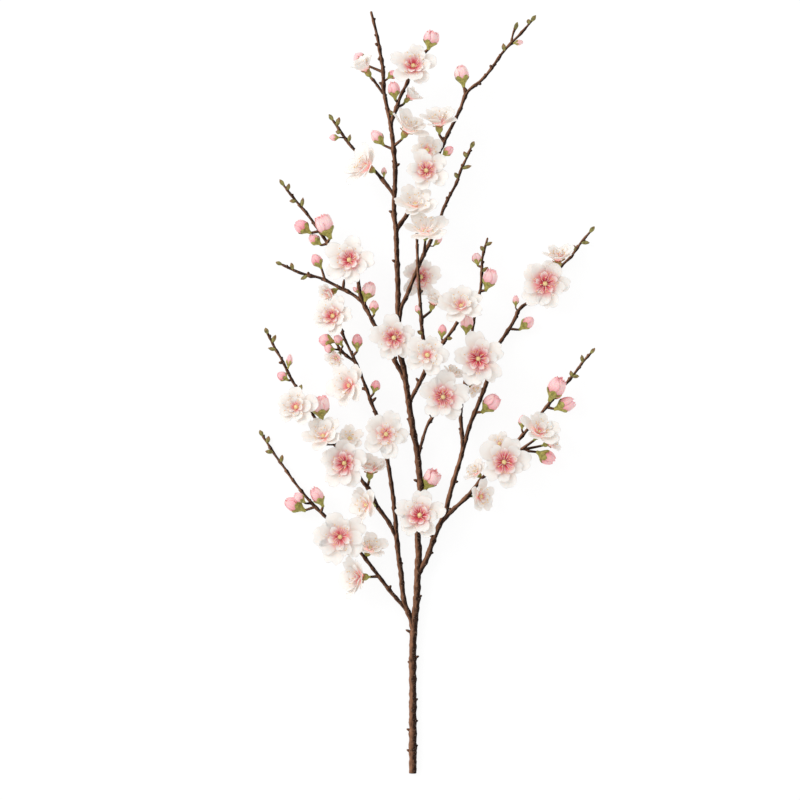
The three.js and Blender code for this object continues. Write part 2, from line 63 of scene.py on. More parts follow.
# ---- Limbs: name, radius at base and tip in steps, taper power, centreline in steps ----
LIMBS = [
    ["main", 3.7, 1.2, 0.62, [
        [0, 0, 4], [0, 38, 4], [0, 78, 5], [0, 128, 6.5], [2, 158, 8], [4, 178, 9],
        [5, 208, 10], [6, 223, 11], [5, 243, 12], [8, 281, 14], [6, 308, 15], [4, 328, 16],
        [0, 348, 17], [-3, 368, 19], [-6, 388, 20], [-9, 408, 21], [-13, 428, 22],
        [-15, 456, 23], [-15, 488, 25], [-16, 518, 26], [-17, 548, 28], [-19, 565, 28],
        [-18, 593, 29], [-18, 613, 30], [-21, 644, 31], [-24, 662, 31], [-29, 686, 32],
        [-30, 708, 33], [-33, 726, 33], [-36, 742, 34], [-40, 758, 34], [-42, 766, 34]]],
    ["left_primary", 2.7, 1.1, 0.8, [
        [1, 138, 7], [-2, 156, 8], [-9, 175, 8], [-12, 203, 9], [-16, 233, 11], [-18, 263, 13],
        [-22, 295, 15], [-27, 325, 17], [-33, 353, 19], [-42, 376, 20], [-47, 390, 20],
        [-57, 415, 21], [-67, 436, 22], [-74, 453, 23]]],
    ["left_low", 2.0, 1.05, 0.9, [
        [-3, 158, 8], [-6, 165, 8], [-23, 185, 9], [-42, 210, 11], [-55, 227, 12], [-68, 242, 13],
        [-91, 263, 13], [-104, 276, 12], [-119, 294, 9], [-129, 308, 7], [-138, 320, 5],
        [-146, 332, 3], [-154, 344, 1.9]]],
    ["left_mid", 2.2, 1.05, 0.9, [
        [-14.5, 222, 10.2], [-16, 237, 11], [-24, 254, 13], [-36, 271, 14], [-43, 286, 15], [-53, 299, 16],
        [-65, 315, 17], [-75, 329, 18], [-91, 349, 19], [-101, 364, 19], [-112, 382, 20],
        [-122, 399, 20], [-132, 419, 21], [-139, 431, 21], [-147, 447, 22]]],
    ["left_cross", 2.3, 1.05, 0.9, [
        [-7, 390, 20.3], [-10, 402, 21], [-21, 422, 23], [-28, 436, 24], [-40, 456, 25], [-50, 475, 25],
        [-64, 486, 25], [-76, 492, 25], [-92, 500, 25], [-105, 503, 25], [-117, 507, 25],
        [-134, 515, 25]]],
    ["left_high", 2.0, 1.05, 0.9, [
        [-44, 463, 25], [-50, 475, 25], [-54, 490, 25], [-57, 508, 25], [-68, 516, 26], [-81, 529, 26],
        [-93, 546, 27], [-105, 563, 28], [-116, 576, 28], [-125, 587, 29], [-131, 595, 29]]],
    ["left_top", 1.9, 1.05, 0.9, [
        [-19, 570, 28.3], [-19, 582, 29], [-33, 602, 23], [-48, 618, 21], [-63, 634, 22], [-71, 645, 23],
        [-82, 661, 24]]],
    ["spur_top", 1.4, 1.2, 1, [[-30, 684, 32], [-37, 694, 33], [-41, 699, 33]]],
    ["spur_mid", 1.5, 1.2, 1, [[-58, 416, 21], [-66, 422, 22], [-72, 427, 22], [-76, 431, 23]]],
    ["right_crown", 2.0, 1.1, 0.9, [
        [-20, 641, 31], [-22, 653, 31], [-17, 668, 33], [-12, 682, 34], [-5, 696, 34], [0, 708, 34],
        [7, 719, 35], [14, 727, 36]]],
    ["right_top", 2.3, 1.05, 0.9, [
        [-17, 532, 27], [-16, 548, 28], [-6, 564, 25], [0, 578, 23], [6, 590, 23], [15, 605, 25],
        [25, 623, 28], [32, 638, 30], [40, 654, 31], [47, 668, 32], [54, 685, 33],
        [67, 696, 33], [77, 707, 34], [89, 724, 34], [98, 734, 35], [108, 744, 35],
        [120, 758, 35]]],
    ["right_top_fork", 1.2, 1.0, 1, [[98, 735, 35], [100, 744, 35], [103, 750, 36]]],
    ["right_high", 2.2, 1.05, 0.9, [
        [-14, 454, 23], [-12, 470, 24], [-7, 481, 24], [-1, 496, 24], [5, 511, 23], [11, 524, 23],
        [19, 540, 23], [26, 555, 23], [30, 568, 25], [36, 581, 27], [43, 594, 28],
        [48, 608, 29], [54, 621, 29], [59, 633, 30]]],
    ["hidden_spur", 1.5, 1.1, 1, [[-11, 472, 24], [-10, 476, 9], [-4, 486, 3], [8, 499, 2.4]]],
    ["right_inner", 2.1, 1.4, 1, [
        [-2, 359, 18], [-4, 373, 19], [5, 392, 20], [12, 407, 21], [25, 429, 21], [33, 439, 22],
        [46, 457, 23]]],
    ["centre_twig", 1.9, 1.3, 1, [
        [7, 395, 20.3], [12, 407, 21], [11, 433, 23], [9, 450, 25], [7, 478, 28], [5, 508, 29],
        [4, 542, 22], [4, 556, 22], [2, 562, 24]]],
    ["right_spur", 1.7, 1.3, 1, [[6, 309, 15], [6, 323, 16], [14, 351, 18], [24, 367, 20]]],
    ["right_primary", 2.7, 1.05, 0.8, [
        [4, 183, 9.3], [5, 200, 10], [14, 218, 11], [20, 235, 12], [26, 250, 13], [33, 266, 14],
        [36, 278, 14], [40, 293, 15], [48, 319, 15], [53, 338, 15], [59, 357, 15],
        [66, 374, 15], [74, 395, 14], [78, 413, 13], [80, 426, 12], [90, 439, 11],
        [101, 456, 9], [109, 471, 7], [124, 481, 4], [137, 495, 2.3], [150, 513, 4],
        [160, 523, 6], [170, 537, 8], [181, 550, 9]]],
    ["right_cross", 2.0, 1.05, 0.9, [
        [46, 310, 15], [50, 330, 15], [49, 348, 17], [48, 366, 18], [51, 386, 18], [54, 407, 19],
        [57, 428, 20], [61, 456, 21], [65, 479, 22], [68, 490, 22], [69, 506, 22],
        [70, 522, 23], [75, 541, 24]]],
    ["right_low", 2.2, 1.05, 0.9, [
        [22, 240, 12.3], [28, 253, 13], [39, 266, 14], [55, 281, 15], [70, 299, 15], [85, 315, 15],
        [103, 334, 15], [117, 350, 14], [133, 369, 14], [147, 386, 14], [160, 401, 14],
        [172, 417, 15], [181, 427, 15]]],
    ["right_low_spur", 1.5, 1.2, 1, [[99, 329, 15], [107, 327, 14], [117, 328, 13]]],
]

# ---- Woody stubs and dormant buds: limb, end in plan ----
STUBS = [
    ["main", -7, 142], ["main", 6, 116], ["main", -5, 111], ["main", 5, 73], ["main", 5, 51],
    ["main", -6, 42], ["main", 5, 26], ["main", -6, 21], ["main", 9, 178], ["main", 1, 295],
    ["main", -6, 357], ["main", -21, 516], ["main", -34, 693], ["main", -35, 717],
    ["main", -38, 732], ["main", -24, 565], ["main", -13, 612], ["main", -3, 342],
    ["left_primary", -36, 378], ["left_primary", -69, 447], ["left_primary", -20, 270],
    ["left_primary", -10, 212], ["left_low", -21, 189], ["left_low", -114, 287],
    ["left_mid", -49, 294], ["left_mid", -39, 284], ["left_mid", -98, 357],
    ["left_mid", -134, 414], ["left_cross", -66, 497], ["left_cross", -15, 420],
    ["left_cross", -104, 506], ["right_crown", -7, 697], ["right_top", 50, 688],
    ["right_top", 29, 640], ["right_top", 67, 692], ["right_top", 76, 711],
    ["right_high", 33, 581], ["right_high", 30, 562], ["right_cross", 44, 368],
    ["right_cross", 46, 348], ["right_cross", 58, 395], ["right_primary", 20, 222],
    ["right_primary", 45, 294], ["right_primary", 69, 389], ["right_primary", 84, 431],
    ["right_primary", 106, 468], ["right_low", 36, 268], ["right_low", 53, 277],
    ["right_spur", 10, 367], ["centre_twig", 10, 486], ["right_inner", 2, 398],
]

# ---- Small green leaf buds: limb, tip in plan ----
GREEN_BUDS = [
    ["left_low", -155, 347], ["left_low", -146, 341], ["left_low", -149, 326],
    ["left_low", -132, 322], ["left_mid", -148, 450], ["left_mid", -138, 443],
    ["left_mid", -145, 430], ["left_mid", -112, 393], ["left_cross", -137, 516],
    ["left_cross", -122, 515], ["left_cross", -112, 499], ["left_high", -133, 598],
    ["left_high", -124, 594], ["left_high", -123, 577], ["left_high", -110, 580],
    ["left_top", -84, 664], ["left_top", -74, 661], ["left_top", -77, 647],
    ["left_top", -63, 644], ["right_crown", -23, 667], ["right_top", 122, 761],
    ["right_top", 115, 757], ["right_top", 90, 733], ["right_top_fork", 104, 754],
    ["right_high", 61, 636], ["right_high", 51, 626], ["right_high", 58, 612],
    ["right_high", 42, 605], ["right_inner", 39, 440], ["centre_twig", 5, 447],
    ["right_cross", 68, 532], ["right_cross", 79, 536], ["right_cross", 75, 511],
    ["right_primary", 163, 534], ["right_primary", 178, 537], ["right_primary", 183, 553],
    ["right_low", 183, 430], ["right_low", 170, 423], ["right_low", 167, 402],
    ["right_low", 159, 407],
]

# ---- Blooms: name, limb, place of the petals' centre, facing, radius, cup, turn in degrees ----
BLOOMS = [
    ["bloom_01", "right_crown", [0, 708, 44], [0.05, 0.35, 0.93], 23.5, 0.28, 10],
    ["bloom_02", "spur_top", [-46, 706, 35], [-0.5, 0.75, 0.4], 15, 0.9, 0],
    ["bloom_07", "right_crown", [-5, 680, 25], [0.65, 0.7, 0.2], 12, 0.85, 0],
    ["bloom_09", "main", [-7, 645, 39], [0.45, 0.7, 0.55], 22, 0.55, 20],
    ["bloom_10", "right_top", [26, 651, 38], [-0.05, 0.8, 0.58], 22, 0.55, 0],
    ["bloom_11", "right_top", [14, 627, 31], [0.05, 0.05, 1], 16.5, 0.25, 30],
    ["bloom_14", "left_top", [-44, 609, 38], [-0.72, 0.4, 0.58], 24, 0.5, 0],
    ["bloom_16", "right_top", [13, 605, 42.5], [0, 0.15, 1], 22, 0.25, 40],
    ["bloom_17", "centre_twig", [2, 570, 43], [0.03, 0.56, 0.83], 23, 0.5, 12],
    ["bloom_18", "right_high", [12, 543, 45], [0, 0.75, 0.66], 24, 0.4, 0],
    ["bloom_19", "hidden_spur", [8, 502, 11], [0, 0, 1], 20, 0.06, 15],
    ["bloom_24", "left_high", [-63, 517, 38], [-0.15, 0.1, 1], 25, 0.22, 0],
    ["bloom_25", "left_cross", [-82, 487, 12], [-0.75, -0.4, 0.5], 15, 0.55, 0],
    ["bloom_26", "left_primary", [-79, 461, 33], [-0.3, 0.25, 0.9], 21.5, 0.3, 0],
    ["bloom_33", "spur_mid", [-76, 422, 17], [-0.5, -0.55, 0.65], 13, 0.5, 0],
    ["bloom_34", "left_cross", [-19, 440, 34], [0, 0, 1], 23.5, 0.2, 25],
    ["bloom_35", "left_primary", [-62, 392, 24], [-0.6, 0.1, 0.78], 25, 0.38, 0],
    ["bloom_37", "left_mid", [-116, 370, 31], [-0.2, 0.3, 0.93], 22, 0.3, 20],
    ["bloom_41", "left_mid", [-89, 340, 33], [-0.15, 0.6, 0.78], 21, 0.38, 0],
    ["bloom_42", "left_mid", [-68, 315, 30], [-0.2, 0, 1], 25, 0.2, 15],
    ["bloom_43", "left_mid", [-64, 338, 17], [0.1, 0.5, 0.85], 15, 0.4, 0],
    ["bloom_44", "left_mid", [-43, 305, 16], [0.12, 0.85, 0.45], 18, 0.65, 0],
    ["bloom_45", "left_primary", [-27, 344, 32], [0, 0, 1], 24, 0.2, 0],
    ["bloom_49", "left_low", [-73, 241, 26], [0, 0, 1], 27, 0.2, 30],
    ["bloom_50", "left_low", [-44.5, 226.5, 14], [0.3, 0.75, 0.55], 19, 0.5, 0],
    ["bloom_51", "left_mid", [-44.5, 272.5, 24], [-0.7, 0.1, 0.68], 20, 0.42, 0],
    ["bloom_52", "left_low", [-51, 200, 18], [-0.82, 0.05, 0.58], 24, 0.55, 0],
    ["bloom_53", "right_primary", [7, 262, 28], [-0.1, 0.3, 0.95], 25, 0.2, 18],
    ["bloom_55", "right_low", [91, 316, 30], [0, 0, 1], 26.5, 0.2, 0],
    ["bloom_56", "right_low", [65, 304, 15], [-0.55, 0.6, 0.58], 14, 0.5, 0],
    ["bloom_57", "right_low", [87, 334, 20], [0, 0.2, 1], 12, 0.2, 0],
    ["bloom_58", "right_low", [66, 281, 18], [0.65, 0, 0.75], 18, 0.45, 0],
    ["bloom_60", "right_spur", [30, 381, 32], [0, 0, 1], 25, 0.2, 8],
    ["bloom_61", "right_cross", [39, 402, 11], [0.3, 0.8, 0.5], 13, 0.6, 0],
    ["bloom_62", "right_cross", [65, 419, 34], [0, 0, 1], 26, 0.2, 30],
    ["bloom_63", "centre_twig", [14, 422, 43], [0, 0.15, 1], 22, 0.22, 0],
    ["bloom_64", "right_inner", [48, 470, 36], [0, 0.54, 0.84], 24, 0.3, 0],
    ["bloom_65", "centre_twig", [20, 474, 24], [0.3, 0.8, 0.5], 14.5, 0.75, 0],
    ["bloom_66", "right_cross", [59.5, 391, 18.5], [0.6, -0.5, 0.6], 10, 0.5, 0],
    ["bloom_72", "right_primary", [133, 495, 16], [0, 0, 1], 25.5, 0.2, 0],
    ["bloom_73", "right_primary", [146, 518, 17], [0, 0.85, 0.52], 19, 0.6, 0],
    ["bloom_79", "right_low_spur", [125, 344, 23], [0.3, 0.65, 0.7], 22, 0.5, 0],
    ["bloom_80", "right_low_spur", [136, 334, 14], [0.85, 0.3, 0.45], 13, 0.75, 0],
]

# How strongly each bloom blushes, from ivory at 0 to rose at 1; others take BLUSH_ELSE.
BLUSH = {
    "bloom_01": 0.85, "bloom_07": 0.70, "bloom_09": 0.20, "bloom_10": 0.40, "bloom_14": 0.35,
    "bloom_16": 0.95, "bloom_17": 0.15, "bloom_18": 0.15, "bloom_19": 0.90, "bloom_24": 0.85,
    "bloom_25": 0.65, "bloom_26": 0.85, "bloom_34": 0.95, "bloom_35": 0.50, "bloom_37": 0.50,
    "bloom_41": 0.36, "bloom_42": 0.95, "bloom_43": 0.12, "bloom_44": 0.50, "bloom_45": 0.60,
    "bloom_49": 0.72, "bloom_50": 0.25, "bloom_51": 0.30, "bloom_52": 0.55, "bloom_53": 0.95,
    "bloom_55": 0.95, "bloom_56": 0.25, "bloom_57": 0.12, "bloom_58": 0.50, "bloom_60": 1.00,
    "bloom_61": 0.20, "bloom_62": 1.00, "bloom_64": 0.45, "bloom_66": 0.25, "bloom_72": 1.00,
    "bloom_73": 0.50, "bloom_79": 0.50, "bloom_80": 0.65,
}
BLUSH_ELSE = 0.45

# ---- Opening pink buds: name, limb, base, tip, width, openness ----
OPENING_BUDS = [
    ["bud_04", "right_crown", [16, 730, 38], [20, 744, 41], 14, 0.6],
    ["bud_06", "right_crown", [-18, 680, 36], [-20, 694, 38], 11, 0.5],
    ["bud_12", "right_top", [50, 694, 34], [47, 711, 36], 13, 0.4],
    ["bud_20", "left_high", [-105, 547, 28], [-118, 556, 29], 13, 0.1],
    ["bud_21", "left_high", [-84, 543, 31], [-92, 561, 34], 16, 0.8],
    ["bud_27", "left_cross", [-47, 480, 27], [-42, 495, 28], 13, 0.4],
    ["bud_38", "left_mid", [-92, 362, 23], [-94, 381, 26], 17, 0.8],
    ["bud_46", "left_low", [-112, 268, 11], [-129, 277, 10], 14, 0.2],
    ["bud_48", "left_low", [-92, 274, 17], [-100, 289, 19], 12, 0.4],
    ["bud_54", "main", [14, 291, 16], [23, 306, 19], 15, 0.7],
    ["bud_68", "right_cross", [54, 447, 23], [54, 464, 25], 12, 0.3],
    ["bud_70", "right_cross", [74, 491, 23], [80, 508, 26], 13, 0.5],
    ["bud_76", "right_low", [139, 381, 22], [148, 399, 27], 16, 0.6],
    ["bud_77", "right_low", [146, 370, 15], [163, 377, 17], 14, 0.3],
    ["bud_81", "right_low_spur", [128, 324, 13], [143, 316, 12], 14, 0.2],
    ["bud_83", "right_primary", [72, 368, 18], [85, 381, 21], 15, 0.6],
]

# ---- Small pink buds: limb, base, tip, width ----
SMALL_BUDS = [
    ["main", [-50, 717, 22], [-58, 726, 20], 12],
    ["main", [-24, 700, 33], [-17, 706, 34], 8],
    ["main", [-31, 635, 30], [-41, 647, 31], 11],
    ["right_top", [31, 623, 30], [40, 631, 31], 8.5],
    ["left_top", [-29, 603, 27], [-29, 611, 28], 5],
    ["left_top", [-75, 641, 26], [-84, 641, 26], 6],
    ["right_top", [101, 734, 35], [110, 735, 35], 5],
    ["left_high", [-94, 535, 26], [-104, 543, 24], 10],
    ["left_cross", [-93, 512, 25], [-100, 524, 26], 10],
    ["left_high", [-55, 486, 26], [-60, 491, 27], 4],
    ["left_cross", [-39, 466, 26], [-39, 478, 27], 9],
    ["spur_mid", [-81, 437, 23], [-95, 439, 24], 12],
    ["spur_mid", [-80, 429, 26], [-89, 430, 28], 8],
    ["spur_mid", [-72, 434, 26], [-78, 443, 30], 8],
    ["left_primary", [-56, 430, 23], [-56, 445, 24], 10],
    ["left_primary", [-39, 387, 22], [-36, 398, 23], 9],
    ["left_mid", [-125, 412, 22], [-123, 424, 22], 6],
    ["left_mid", [-127, 399, 21], [-136, 405, 22], 9],
    ["left_low", [-110, 276, 19], [-119, 284, 22], 9],
    ["right_low", [141, 380, 12], [151, 384, 11], 5],
    ["right_low", [110, 351, 16], [111, 363, 17], 8],
    ["right_inner", [29, 442, 22], [30, 454, 23], 8],
    ["centre_twig", [6, 465, 28], [3, 473, 30], 5],
    ["right_high", [22, 534, 24], [29, 541, 22], 5],
    ["right_cross", [65, 515, 22], [63, 526, 23], 9],
    ["right_primary", [104, 474, 9], [104, 484, 10], 6],
    ["right_primary", [110, 451, 9], [122, 461, 9], 11],
]


# ---- Vectors ----
def place(steps):
    """Metres in the branch's frame from a place in the plan tables."""
    return (np.asarray(steps, float) - ORIGIN) * STEP


def unit(vector):
    """The same direction with length 1; works on one vector or on rows of them."""
    vector = np.asarray(vector, float)
    return vector / np.linalg.norm(vector, axis=-1, keepdims=True)


def across(axis):
    """Two directions that make a right-handed frame with an axis."""
    helper = np.array([0.0, 0.0, 1.0]) if abs(axis[2]) < 0.9 else np.array([0.0, 1.0, 0.0])
    u = unit(np.cross(helper, axis))
    return u, np.cross(axis, u)


def smooth_path(points, spacing):
    """Points at even spacing on a Catmull-Rom curve: each stretch between two points is the cubic
    whose end slopes are half the chord of their neighbours."""
    points = np.asarray(points, float)
    ends = np.vstack([2 * points[0] - points[1], points, 2 * points[-1] - points[-2]])
    t = np.linspace(0, 1, 24, endpoint=False)[:, None]
    p0, p1, p2, p3 = (ends[i:len(ends) - 3 + i, None, :] for i in range(4))
    curve = 0.5 * (2 * p1 + (p2 - p0) * t + (2 * p0 - 5 * p1 + 4 * p2 - p3) * t ** 2
                   + (3 * p1 - p0 - 3 * p2 + p3) * t ** 3)
    curve = np.vstack([curve.reshape(-1, 3), points[-1:]])
    length = np.concatenate([[0], np.cumsum(np.linalg.norm(np.diff(curve, axis=0), axis=1))])
    count = max(4, int(round(length[-1] / spacing)) + 1)
    even = np.linspace(0, length[-1], count)
    return np.stack([np.interp(even, length, curve[:, k]) for k in range(3)], axis=1), even


def carried_frames(path):
    """Tangents of a path, with two side directions carried along it without twist."""
    tangents = unit(np.gradient(path, axis=0))
    side = across(tangents[0])[0]
    sides = []
    for tangent in tangents:
        side = unit(side - tangent * np.dot(side, tangent))
        sides.append(side)
    sides = np.array(sides)
    return tangents, sides, np.cross(tangents, sides)


# ---- Meshes ----
class Growth:
    """The vertices, faces and growth values of one piece, to which closed skins are added.

    The growth of a vertex is three numbers that its material reads: on a petal, how far along and
    across it lies and how strongly it blushes; on bark, its place round and along the limb.
    """

    def __init__(self):
        self.vertices, self.growth, self.faces, self.slots = [], [], [], []
        self.count = 0

    def add(self, vertices, growth, faces, slot):
        """Adds one closed skin. Its signed volume says which way its faces point; if that is
        inwards, each face is turned round."""
        volume = 0.0
        for group in faces:
            corners = vertices[group]
            for k in range(1, group.shape[1] - 1):
                volume += np.sum(corners[:, 0] * np.cross(corners[:, k], corners[:, k + 1]))
        for group in faces:
            group = group[:, ::-1] if volume < 0 else group
            self.faces.append(group + self.count)
            self.slots.append(np.full(len(group), slot))
        self.vertices.append(vertices)
        self.growth.append(growth)
        self.count += len(vertices)

    def build(self, name, materials):
        """One smooth-shaded mesh object at the origin."""
        mesh = bpy.data.meshes.new(name)
        vertices = np.concatenate(self.vertices)
        totals = np.concatenate([np.full(len(f), f.shape[1]) for f in self.faces])
        corners = np.concatenate([f.ravel() for f in self.faces])
        mesh.vertices.add(len(vertices))
        mesh.vertices.foreach_set("co", vertices.astype(np.float32).ravel())
        mesh.loops.add(len(corners))
        mesh.loops.foreach_set("vertex_index", corners.astype(np.int32))
        mesh.polygons.add(len(totals))
        starts = np.concatenate([[0], np.cumsum(totals)[:-1]])
        mesh.polygons.foreach_set("loop_start", starts.astype(np.int32))
        mesh.polygons.foreach_set("material_index", np.concatenate(self.slots).astype(np.int32))
        mesh.update(calc_edges=True)
        values = mesh.attributes.new("growth", "FLOAT_VECTOR", "POINT")
        values.data.foreach_set("vector", np.concatenate(self.growth).astype(np.float32).ravel())
        for material in materials:
            mesh.materials.append(material)
        mesh.shade_smooth()
        if mesh.validate():
            raise RuntimeError(f"{name} has faces that don't close")
        piece = bpy.data.objects.new(name, mesh)
        bpy.context.scene.collection.objects.link(piece)
        return piece


def blade(front, back, growth):
    """A thin closed skin from two grids that share their border: front and back are
    rows x columns x 3, and the back's border points are the front's."""
    rows, columns = front.shape[:2]
    face = np.arange(rows * columns).reshape(rows, columns)
    rear = face.copy()
    inner = (rows - 2) * (columns - 2)
    rear[1:-1, 1:-1] = rows * columns + np.arange(inner).reshape(rows - 2, columns - 2)

    def quads(index):
        return np.stack([index[:-1, :-1], index[1:, :-1], index[1:, 1:], index[:-1, 1:]],
                        axis=-1).reshape(-1, 4)

    vertices = np.vstack([front.reshape(-1, 3), back[1:-1, 1:-1].reshape(-1, 3)])
    values = np.vstack([growth.reshape(-1, 3), growth[1:-1, 1:-1].reshape(-1, 3)])
    return vertices, values, [np.vstack([quads(face), quads(rear)[:, ::-1]])]


def tube(centres, axes_u, axes_v, radius, growth_of, sides):
    """A closed round skin: rings of radius(ring, angle) carried along a path, with a pole at
    each end."""
    rings = len(centres)
    angle = np.linspace(0, 2 * np.pi, sides, endpoint=False)
    wide = radius(np.arange(rings)[:, None], angle[None, :])[..., None]
    around = (np.cos(angle)[None, :, None] * axes_u[:, None, :]
              + np.sin(angle)[None, :, None] * axes_v[:, None, :])
    skin = centres[:, None, :] + wide * around
    vertices = np.vstack([skin.reshape(-1, 3), centres[:1], centres[-1:]])
    values = growth_of(np.arange(rings)[:, None], angle[None, :], wide[..., 0])
    values = np.vstack([values.reshape(-1, 3), values[0].mean(0), values[-1].mean(0)])
    grid = np.arange(rings * sides).reshape(rings, sides)
    turned = np.roll(grid, -1, axis=1)
    quads = np.stack([grid[:-1], turned[:-1], turned[1:], grid[1:]], axis=-1).reshape(-1, 4)
    first, last = rings * sides, rings * sides + 1
    start = np.stack([turned[0], grid[0], np.full(sides, first)], axis=-1)
    end = np.stack([grid[-1], turned[-1], np.full(sides, last)], axis=-1)
    return vertices, values, [quads, np.vstack([start, end])]


def turned_form(foot, axis, profile, growth, sides=16, ripple=0.0):
    """A closed form turned about an axis: profile rows are height and radius along the axis, and
    the ripple lifts the radius in five lobes."""
    u, v = across(axis)
    profile = np.asarray(profile, float)
    centres = foot + profile[:, :1] * axis
    count = len(profile)

    def radius(ring, angle):
        return profile[ring, 1] * (1 + ripple * np.cos(5 * angle))

    def values(ring, angle, wide):
        along = ring / (count - 1) + 0 * angle
        return np.stack([along, angle / np.pi - 1 + 0 * ring, np.full_like(along, growth)], axis=-1)

    return tube(centres, np.tile(u, (count, 1)), np.tile(v, (count, 1)), radius, values, sides)


def disc(rows, columns):
    """A square grid bent into a unit disc: X = s sqrt(1 - t^2/2), Y = t sqrt(1 - s^2/2). The
    grid closes up towards the rim: a step at p lies at 1 - (1 - p)^1.6."""
    s, t = np.meshgrid(*[np.sign(steps) * (1 - (1 - np.abs(steps)) ** 1.6)
                         for steps in (np.linspace(-1, 1, columns), np.linspace(-1, 1, rows))])
    return s * np.sqrt(1 - t * t / 2), t * np.sqrt(1 - s * s / 2)


# ---- Petals ----
def petal(hub, axis, angle, start, length, width, rise, bend, cup, thickness, blush, rng,
          notch=0.06, ruffle=0.03, twist=0.12, rows=15, columns=13):
    """A petal as a bent disc.

    Outline: the disc's height is the share along the petal; its width narrows to the claw as
    0.32 + 0.68 along^0.7, and the tip has a notch and a ruffled edge. Form: the midline leaves the
    axis at an elevation that falls evenly from rise + bend/2 to rise - bend/2; off the midline the
    petal lifts along its normal by cup x across^2, by a twist that laps it over its neighbour, and
    by waves that grow towards the edge.
    """
    X, Y = disc(rows, columns)
    along = (Y + 1) / 2
    edge = np.hypot(X, Y)
    round_angle = np.arctan2(X, Y)
    phase = rng.uniform(0, 2 * np.pi, 4)
    side = X * (0.32 + 0.68 * along ** 0.7) * 1.08
    side = side * (1 + 0.03 * np.sin(2 * round_angle + phase[0]) * edge)
    rim = edge ** 6
    split = rng.uniform(-0.25, 0.25)
    short = notch * np.exp(-((round_angle - split) / 0.17) ** 2) * rim
    short = short + ruffle * np.sin(5 * round_angle + phase[1]) * rim * along
    short = short + 0.5 * ruffle * np.sin(11 * round_angle + phase[2]) * rim * along
    far = along * (1 - short)
    first, turn = rise + bend / 2, -bend
    tilt = first + turn * far
    out = start + length * (np.sin(tilt) - math.sin(first)) / turn
    up = -length * (np.cos(tilt) - math.cos(first)) / turn
    wave = 0.035 * np.sin(3.2 * side + phase[3]) * along ** 2
    wave = wave + 0.022 * np.sin(4 * round_angle + phase[0]) * edge ** 3 * along
    crease = -0.02 * np.exp(-(side / 0.12) ** 2) * along * (1 - along * 0.6)
    veins = 0.006 * np.sin(26 * side / (0.35 + along)) * np.sin(np.pi * along)
    lift = width * (cup * side ** 2 + twist * side + wave + crease + veins)
    wall = 0.5 * thickness * np.sqrt(np.clip(1 - edge ** 4, 0, 1))
    u, v = across(axis)
    radial = math.cos(angle) * u + math.sin(angle) * v
    tangent = -math.sin(angle) * u + math.cos(angle) * v
    normal_out = -np.sin(tilt)[..., None] * radial + np.cos(tilt)[..., None] * axis
    middle = (hub + out[..., None] * radial + up[..., None] * axis
              + (0.5 * width * side)[..., None] * tangent + lift[..., None] * normal_out)
    growth = np.stack([far, side, np.full_like(far, blush)], axis=-1)
    offset = wall[..., None] * normal_out
    return blade(middle + offset, middle - offset, growth)


def stamen(hub, axis, angle, lean, length, thick, rng):
    """A filament that leaves the hub at a lean and curves up towards the axis, and its anther."""
    u, v = across(axis)
    radial = math.cos(angle) * u + math.sin(angle) * v
    t = np.linspace(0, 1, 6)
    curl = rng.uniform(0.1, 0.4)
    slope = lean - curl * (t - 0.5)
    steps = np.gradient(t) * length
    out = np.cumsum(np.sin(slope) * steps) - np.sin(slope[0]) * steps[0]
    up = np.cumsum(np.cos(slope) * steps) - np.cos(slope[0]) * steps[0]
    centres = hub + (0.7 * MM + out)[:, None] * radial + up[:, None] * axis
    tangents, axes_u, axes_v = carried_frames(centres)

    def values(ring, angle, wide):
        along = ring / (len(t) - 1) + 0 * angle
        return np.stack([along, 0 * along, 0 * along], axis=-1)

    shaft = tube(centres, axes_u, axes_v, lambda ring, a: thick * (1 - 0.4 * t[ring]) + 0 * a,
                 values, 5)
    head = unit(tangents[-1] + 0.6 * rng.normal(size=3))
    size = rng.uniform(0.75, 0.95)
    anther = turned_form(centres[-1] - 0.35 * MM * head, head, np.array([
        [0.0, 0.12], [0.12, 0.36], [0.4, 0.46], [0.68, 0.38], [0.85, 0.14]]) * MM * size,
        rng.uniform(0, 1), 7)
    return shaft, anther


# ---- Bloom ----
PETAL, FILAMENT, ANTHER, PISTIL, CALYX = range(5)


def add_calyx(growth, foot, axis, depth, scale, rise, rng):
    """The green pedicel and cup under the petals, and five sepals that rise as the petals do."""
    body = [[-1.9 * MM, 0.7 * MM], [-1.2 * MM, 0.88 * MM], [-0.4 * MM, 0.95 * MM],
            [0, 1.1 * MM], [0.12 * depth, 1.7 * MM], [0.3 * depth, 2.3 * MM],
            [0.5 * depth, 2.55 * MM], [0.72 * depth, 2.5 * MM], [0.95 * depth, 2.45 * MM],
            [1.02 * depth, 2.1 * MM], [0.96 * depth, 0.9 * MM]]
    body = np.array(body)
    body[:, 1] *= scale
    growth.add(*turned_form(foot, axis, body, rng.uniform(0, 1), 18, 0.03), CALYX)
    rim = foot + 0.86 * depth * axis
    for k in range(5):
        angle = 2 * np.pi * (k + 0.5) / 5 + rng.uniform(-0.1, 0.1)
        growth.add(*petal(rim, axis, angle, 1.9 * MM * scale, 3.9 * MM * scale,
                          3.2 * MM * scale, 0.9 * rise + 0.04, 0.25, 0.16, 0.4 * MM, 1.0, rng,
                          notch=-0.04, ruffle=0.01, twist=0.0, rows=9, columns=9), CALYX)


